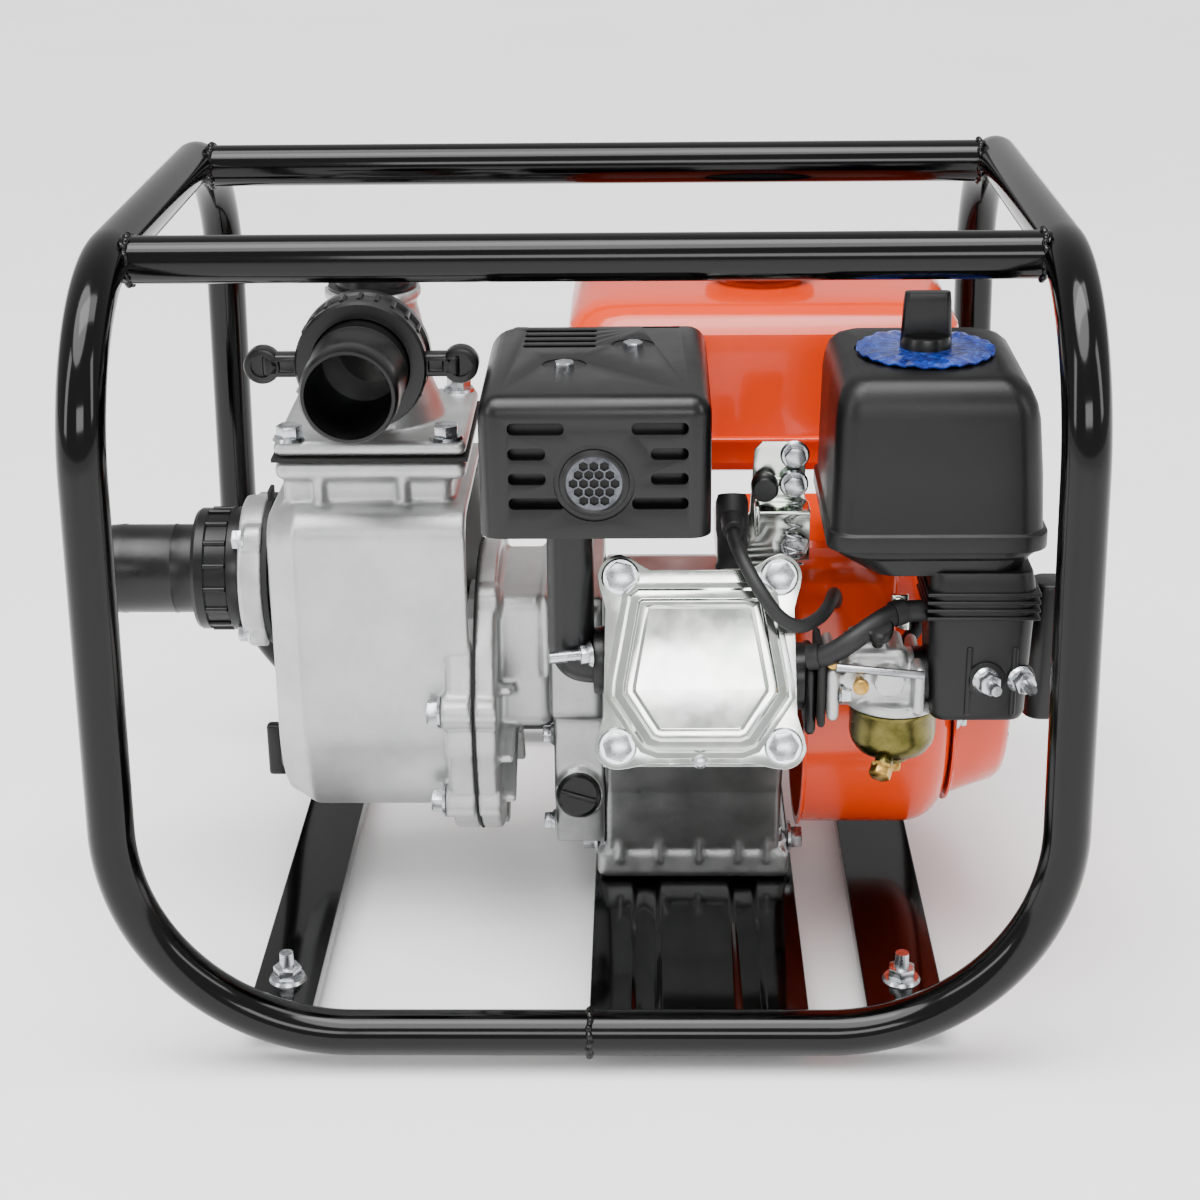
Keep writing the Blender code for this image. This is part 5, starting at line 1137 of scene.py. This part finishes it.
def make_carburettor():
    y, z = -132.0, 188.0
    x0, x1 = 117.3, 165.7
    body = bar((x0 + 4, y, z), X, x1 - x0 - 8, 14.5, 48)
    parts = [
        cube((x0, y - 26, z - 14), (x0 + 6, y + 26, z + 14), 5, 4),
        cube((x1 - 6, y - 22, z - 13), (x1, y + 26, z + 13), 5, 4),
        cube((x0 + 9, y - 15, z), (x1 - 9, y + 15, z + 20), 4),
        cube((x0 + 12, y - 12, z + 16), (x0 + 30, y + 10, z + 23.6), 2),
        bar((BOWL_X, BOWL_Y, 173.2), Z, 6, 24.6, 56, rounding=1),
        cube((137, -146, 176), (164.5, -112, z + 4), 3),
        bar((130, y - 4, z + 8), -Y, 20, 5.5, 32),
        bar((148, y - 6, z + 6), -Y, 17, 7.5, 32),
        bar((156, -122, 180), Y, 15, 6, 24),
        bar((152, -102, 180), X, 18, 5, 24),
    ]
    united(body, *parts)
    cut(body, bar((x0 - 5, y, z), X, 80, 11, 40))
    cast(body, 0.9, 2)
    done(body, "carburettor_casting", ROOT, F["blasted"], ("carburettor",), smooth=50)
    bowl = turned(
        [(6, -32), (8, -31.6), (9, -29), (13, -27.6), (18, -24.6), (21, -20), (21.8, -16), (22, -3),
         (22.6, -2), (22.6, -0.5), (21.6, 0)],
        (BOWL_X, BOWL_Y, 172.7), Z, 64,
    )
    side_boss = bar((148, -144, 148), BOWL_DRAIN_WAY, 5, 4.6, 24, rounding=0.8)
    done(merged(bowl, side_boss), "float_bowl_pressing", ROOT, F["olive"], ("float_bowl",))
    nut = bolt_template(10, 5, 6)
    fasten(nut, "bowl_bolt", [((BOWL_X, BOWL_Y, 141), -Z, 10)], material=F["brass"])
    fasten(nut, "bowl_drain_screw", [((146.5, -147.5, 145.2), BOWL_DRAIN_WAY, 10)],
           material=F["brass"])
    fasten(nut, "carburettor_nut", [((x0 + 6, y - 20, z), X, 0), ((x0 + 6, y + 20, z), X, 0)])
    throw_away(nut)
    rod = bar((121, -160.5, 205), (1, 0, -0.1), 43, 2.1, 20, rounding=0.4)
    done(rod, "linkage_rod", ROOT, F["steel"])
    cup = bar((120, -156, 205), (0, 1, 0), 18, 3, 20)
    done(cup, "linkage_pivot", ROOT, F["brass"])
    knob = turned([(3, 0), (3, 6), (6.5, 7), (7, 9), (7, 13), (5.8, 14)],
                  (142, -148, 212), (0, -0.5, 1), 32)
    done(knob, "idle_screw_cap", ROOT, F["nylon"])
    screw = turned([(2.4, 0), (2.4, 8), (4, 8.4), (4, 10.6), (3, 11.2)], (133, -154, 196), -Y, 24)
    done(screw, "mixture_screw", ROOT, F["brass"])
    gasket = cube((112.9, -156, 170), (116.9, -108, 205), 4, 3)
    cut(gasket, bar((110, y, z), X, 12, 11, 32))
    slab = cube((107, -152, 164), (112.6, -112, 200), 4, 3)
    neck = bar((99.3, y, z), X, 9, 17, 40)
    united(slab, neck)
    cut(slab, bar((90, y, z), X, 40, 11, 32))
    done(slab, "insulator_moulding", ROOT, F["nylon"], ("insulator_block",))
    done(gasket, "insulator_gasket", ROOT, F["gasket"])
    lever = cube((155.2, -126, 212.3), (160.8, -94.5, 214.5), 1.2)
    hub = turned([(4.8, 0), (4.8, 4), (3.6, 5)], (158, -126, 212.3), Z, 32)
    tab = cube((153.6, -97, 212.3), (162.4, -94, 217.3), 0.8)
    done(merged(lever, hub, tab), "choke_lever_pressing", "choke_lever", F["zinc"],
         ("choke_lever",))
    arm = cube((170.3, -105.8, 152.2), (173.4, -98.2, 184.6), 1.4)
    hub = turned([(5.8, 0), (5.8, 4), (4.6, 5)], (170.3, -102, 180), X, 32)
    done(merged(arm, hub), "fuel_valve_moulding", "fuel_valve_lever", F["nylon"],
         ("fuel_valve_lever",))


def make_air_cleaner():
    x0, x1, y0, y1, z0, z1 = 116, 222, -156, -37, 262, 345
    cover = pillow([
        (z0, x0, x1, y0, y1, 13), (z0 + 8, x0, x1, y0, y1, 13),
        (z0 + 9, x0 + 1.8, x1 - 2.2, y0 + 1.8, y1 - 1.4, 12),
        (z0 + 36, x0 + 2.4, x1 - 3.6, y0 + 2.6, y1 - 1.7, 12),
        (z1 - 20, x0 + 3, x1 - 6, y0 + 4, y1 - 2, 13),
        (z1 - 13, x0 + 3.8, x1 - 7.6, y0 + 5, y1 - 3.4, 13),
        (z1 - 6, x0 + 5.6, x1 - 11, y0 + 8, y1 - 6.5, 13),
        (z1 - 2, x0 + 9, x1 - 15.6, y0 + 12, y1 - 10.5, 12),
        (z1, x0 + 13, x1 - 20, y0 + 16, y1 - 15, 11),
    ], 0.5)
    recess = pillow([(z1 - 1.4, 131, 198, -128, -63, 30), (z1 + 4, 131, 198, -128, -63, 30)])
    cut(cover, recess)
    hollow = pillow([(z0 - 4, x0 + 4, x1 - 5, y0 + 5, y1 - 4, 10),
                     (z1 - 30, x0 + 7, x1 - 10, y0 + 8, y1 - 6, 10)])
    cut(cover, hollow)
    done(cover, "air_cleaner_cover_moulding", ROOT, F["abs"], ("air_cleaner_cover",),
         smooth=28)
    tray = pillow([
        (247.7, 137, 210, -149, -57, 14), (256, x0 + 6, x1 - 5, y0 + 6, y1 - 6, 13),
        (258, x0 + 4, x1 - 3, y0 + 4, y1 - 4, 13), (261.7, x0 + 4, x1 - 3, y0 + 4, y1 - 4, 13),
    ], 0.5)
    elbow = pillow([(172, 170, 214, -151, -110, 7), (176, 168.4, 215.4, -152.6, -110, 8),
                    (240, 166, 218, -153, -110, 8), (250, 166, 216, -151, -110, 8)], 1.0)
    ribs = [cube((164.6, -154.4, 226.5 + 4.1 * i), (219.4, -108, 228.3 + 4.1 * i), 0.7)
            for i in range(4)]
    front = [cube((185 + 22 * i, -154, 176), (188 + 22 * i, -148, 212), 1) for i in range(2)]
    bosses = [bar((194.9, -147, 195), -Y, 7, 9.5, 40, rounding=1),
              bar((212, -147, 195), -Y, 6, 7, 40, rounding=1)]
    stud = bar((KNOB_X, KNOB_Y, 256), Z, 96, 2.9, 20)
    inlet = bar((161.2, -132, 188), X, 10, 15, 40)
    base = merged(tray, elbow, *ribs, *front, *bosses, inlet)
    done(base, "air_cleaner_base_moulding", ROOT, F["abs"], ("air_cleaner_base",),
         smooth=30)
    done(stud, "air_cleaner_stud", ROOT, F["bolts"])
    nut = bolt_template(10, 6, 7, 7)
    way = (0.25, -1, 0)
    fasten(nut, "intake_nut", [((194.9, -154, 195), way, 0), ((212, -153, 195), way, 20)])
    throw_away(nut)
    film = turned([(6, 0.2), (33.6, 0.2), (33.8, 1.0), (29, 2.2), (14, 2.4)],
                  (KNOB_X, KNOB_Y, 345.4), Z, 96)
    for vertex in film.data.vertices:
        out = vertex.co - at((KNOB_X, KNOB_Y, 0))
        angle = math.atan2(out.y, out.x)
        if math.hypot(out.x, out.y) > 25 * MM:
            # the free rim ripples
            vertex.co.z += (0.7 + 0.9 * math.sin(angle * 23) + 0.4 * math.sin(angle * 9)) * MM * 0.6
    done(film, "cleaner_film_disc", "air_cleaner_knob", F["film"], smooth=20)
    knob = turned([(12.6, 0), (12.6, 3), (11.6, 6.2), (9.6, 7.4)], (KNOB_X, KNOB_Y, 347), Z, 48)
    blade = pillow([(350, 153, 178, -99.6, -92.4, 3), (370, 154, 177.2, -99.4, -92.6, 3),
                    (375, 154.6, 176.6, -98.8, -93.2, 2.6)], 0.7)
    done(merged(knob, blade), "cleaner_knob_moulding", "air_cleaner_knob", F["nylon"],
         ("air_cleaner_knob",))


def make_controls():
    y = -74.3
    outline = [(68, 222), (113, 228), (113, 256), (110, 262), (110, 288), (106, 292), (88, 292),
               (84, 288), (82, 254), (78, 248), (68, 246)]
    sheet = plate(outline, "Y", y, y + 2, 0.4)
    fold = cube((84, y - 14, 246), (86.4, y + 1, 262), 0.6)
    shelf = cube((86, y - 16, 258), (112, y + 1, 260), 0.6)
    done(merged(sheet, fold, shelf), "control_bracket_pressing", ROOT, F["zinc"],
         ("control_bracket",), smooth=30)
    bolt = bolt_template(10, 5.5, 7.5)
    spots = [((75, y, 240), -Y, 0), ((104.5, y, 285), -Y, 20), ((105, y, 236), -Y, 40)]
    fasten(bolt, "bracket_bolt", spots)
    pivot = Vector((104, y - 0.3, 271))
    hub = turned([(6, 0.4), (6, 3), (5, 4)], pivot, -Y, 32)
    arm = cube((89, y - 2.8, 268.4), (104, y - 0.8, 273.6), 0.7)
    knob = turned([(5, 0), (5, 4), (7, 5), (7, 12), (5.6, 14)], (89, y - 0.6, 271), -Y, 40)
    done(merged(hub, arm), "throttle_arm", "throttle_lever", F["zinc"], ("throttle_lever",))
    done(knob, "throttle_knob", "throttle_lever", F["nylon"])
    fasten(bolt, "throttle_nut", [(pivot - Y * 4, -Y, 15)], body="throttle_lever")
    throw_away(bolt)
    coil = [(104 + 4.6 * math.cos(a / 6), y - 6 + 2.4 * math.sin(a / 6) - 0.25 * a / 6,
             262 - 0.33 * a / 2)
            for a in range(0, 190)]
    spring = tube(coil, 0.7, 2)
    done(spring, "governor_spring", ROOT, F["bolts"], smooth=60)
    case = cube((160.3, -19, 208), (168, 7, 232), 2)
    done(case, "engine_switch_case", ROOT, F["abs"], ("engine_switch",))


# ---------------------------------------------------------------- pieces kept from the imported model
KEPT = {
    "crankshaft": "steel", "flywheel_fan": "engine_cast", "impeller": "blasted", "volute": "blasted",
    "piston": "steel", "recoil_pulley": "nylon", "shaft_seal": "rubber", "suction_flapper": "rubber",
    "air_filter": "foam", "switch_knob": "orange",
}


def dress_kept_nodes():
    for name, finish in KEPT.items():
        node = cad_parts[name]
        node.data.materials.clear()
        node.data.materials.append(F[finish])


# ---------------------------------------------------------------- studio
CAMERA_PLACE = (0.04132, -1.18742, 0.65226)  # metres
CAMERA_PITCH, CAMERA_YAW, CAMERA_ROLL = 0.3812, -0.0235, -0.0116  # radians, pitch downwards
CAMERA_LENS, CAMERA_SENSOR = 69.12, 36
AIM = Vector((0, 0, 0.2))


def make_studio():
    bpy.ops.mesh.primitive_plane_add(size=14, location=(0, 0, -0.0002))
    floor = bpy.context.object
    floor.name = "studio_floor_sheet"
    floor.data.materials.append(F["floor"])
    world = bpy.data.worlds.new("studio")
    bpy.context.scene.world = world
    world.use_nodes = True
    background = world.node_tree.nodes["Background"]
    background.inputs["Color"].default_value = (1, 1, 1, 1)
    background.inputs["Strength"].default_value = 0.7
    sun = bpy.data.lights.new("high_sky", "SUN")
    sun.energy = 4.6
    sun.angle = math.radians(50)
    sky = bpy.data.objects.new("high_sky", sun)
    sky.rotation_euler = (math.radians(14), math.radians(-10), 0)
    bpy.context.collection.objects.link(sky)
    for name, place, size, power in (
        ("top_softbox", (0.1, -0.3, 1.9), (1.6, 0.5), 16),
        ("left_softbox", (-1.6, -1.0, 1.1), (0.4, 1.3), 12),
        ("right_softbox", (1.7, -0.9, 1.2), (0.4, 1.2), 10),
        ("front_softbox", (0.2, -2.2, 1.1), (1.2, 0.5), 16),
    ):
        lamp = bpy.data.lights.new(name, "AREA")
        lamp.shape = "RECTANGLE"
        lamp.size, lamp.size_y = size
        lamp.energy = power
        obj = bpy.data.objects.new(name, lamp)
        obj.location = place
        obj.rotation_euler = (AIM - Vector(place)).to_track_quat("-Z", "Y").to_euler()
        bpy.context.collection.objects.link(obj)
    pitch, yaw, roll = CAMERA_PITCH, CAMERA_YAW, CAMERA_ROLL
    level = Vector((math.sin(yaw), math.cos(yaw), 0)) * math.cos(pitch)
    ahead = level - Z * math.sin(pitch)
    right = Vector((math.cos(yaw), -math.sin(yaw), 0))
    above = right.cross(ahead)
    turned_right = right * math.cos(roll) + above * math.sin(roll)
    turned_up = above * math.cos(roll) - right * math.sin(roll)
    camera = bpy.data.cameras.new("studio_camera")
    camera.sensor_width = CAMERA_SENSOR
    camera.lens = CAMERA_LENS
    obj = bpy.data.objects.new("studio_camera", camera)
    facing = Matrix((turned_right, turned_up, -ahead)).transposed().to_4x4()
    obj.matrix_world = Matrix.Translation(CAMERA_PLACE) @ facing
    bpy.context.collection.objects.link(obj)
    bpy.context.scene.camera = obj


make_frame()
make_casing()
make_adapter()
make_outlet_elbow()
make_coupling("outlet", (OUTLET_X, -41, OUTLET_Z), -Y, True)
make_coupling("suction", (SUCTION_FACE, 0, SUCTION_Z), -X, False)
make_pump_trim()
make_crankcase()
make_valve_cover()
make_ignition()
make_muffler()
make_shroud()
make_tank()
make_carburettor()
make_air_cleaner()
make_controls()
dress_kept_nodes()
make_studio()
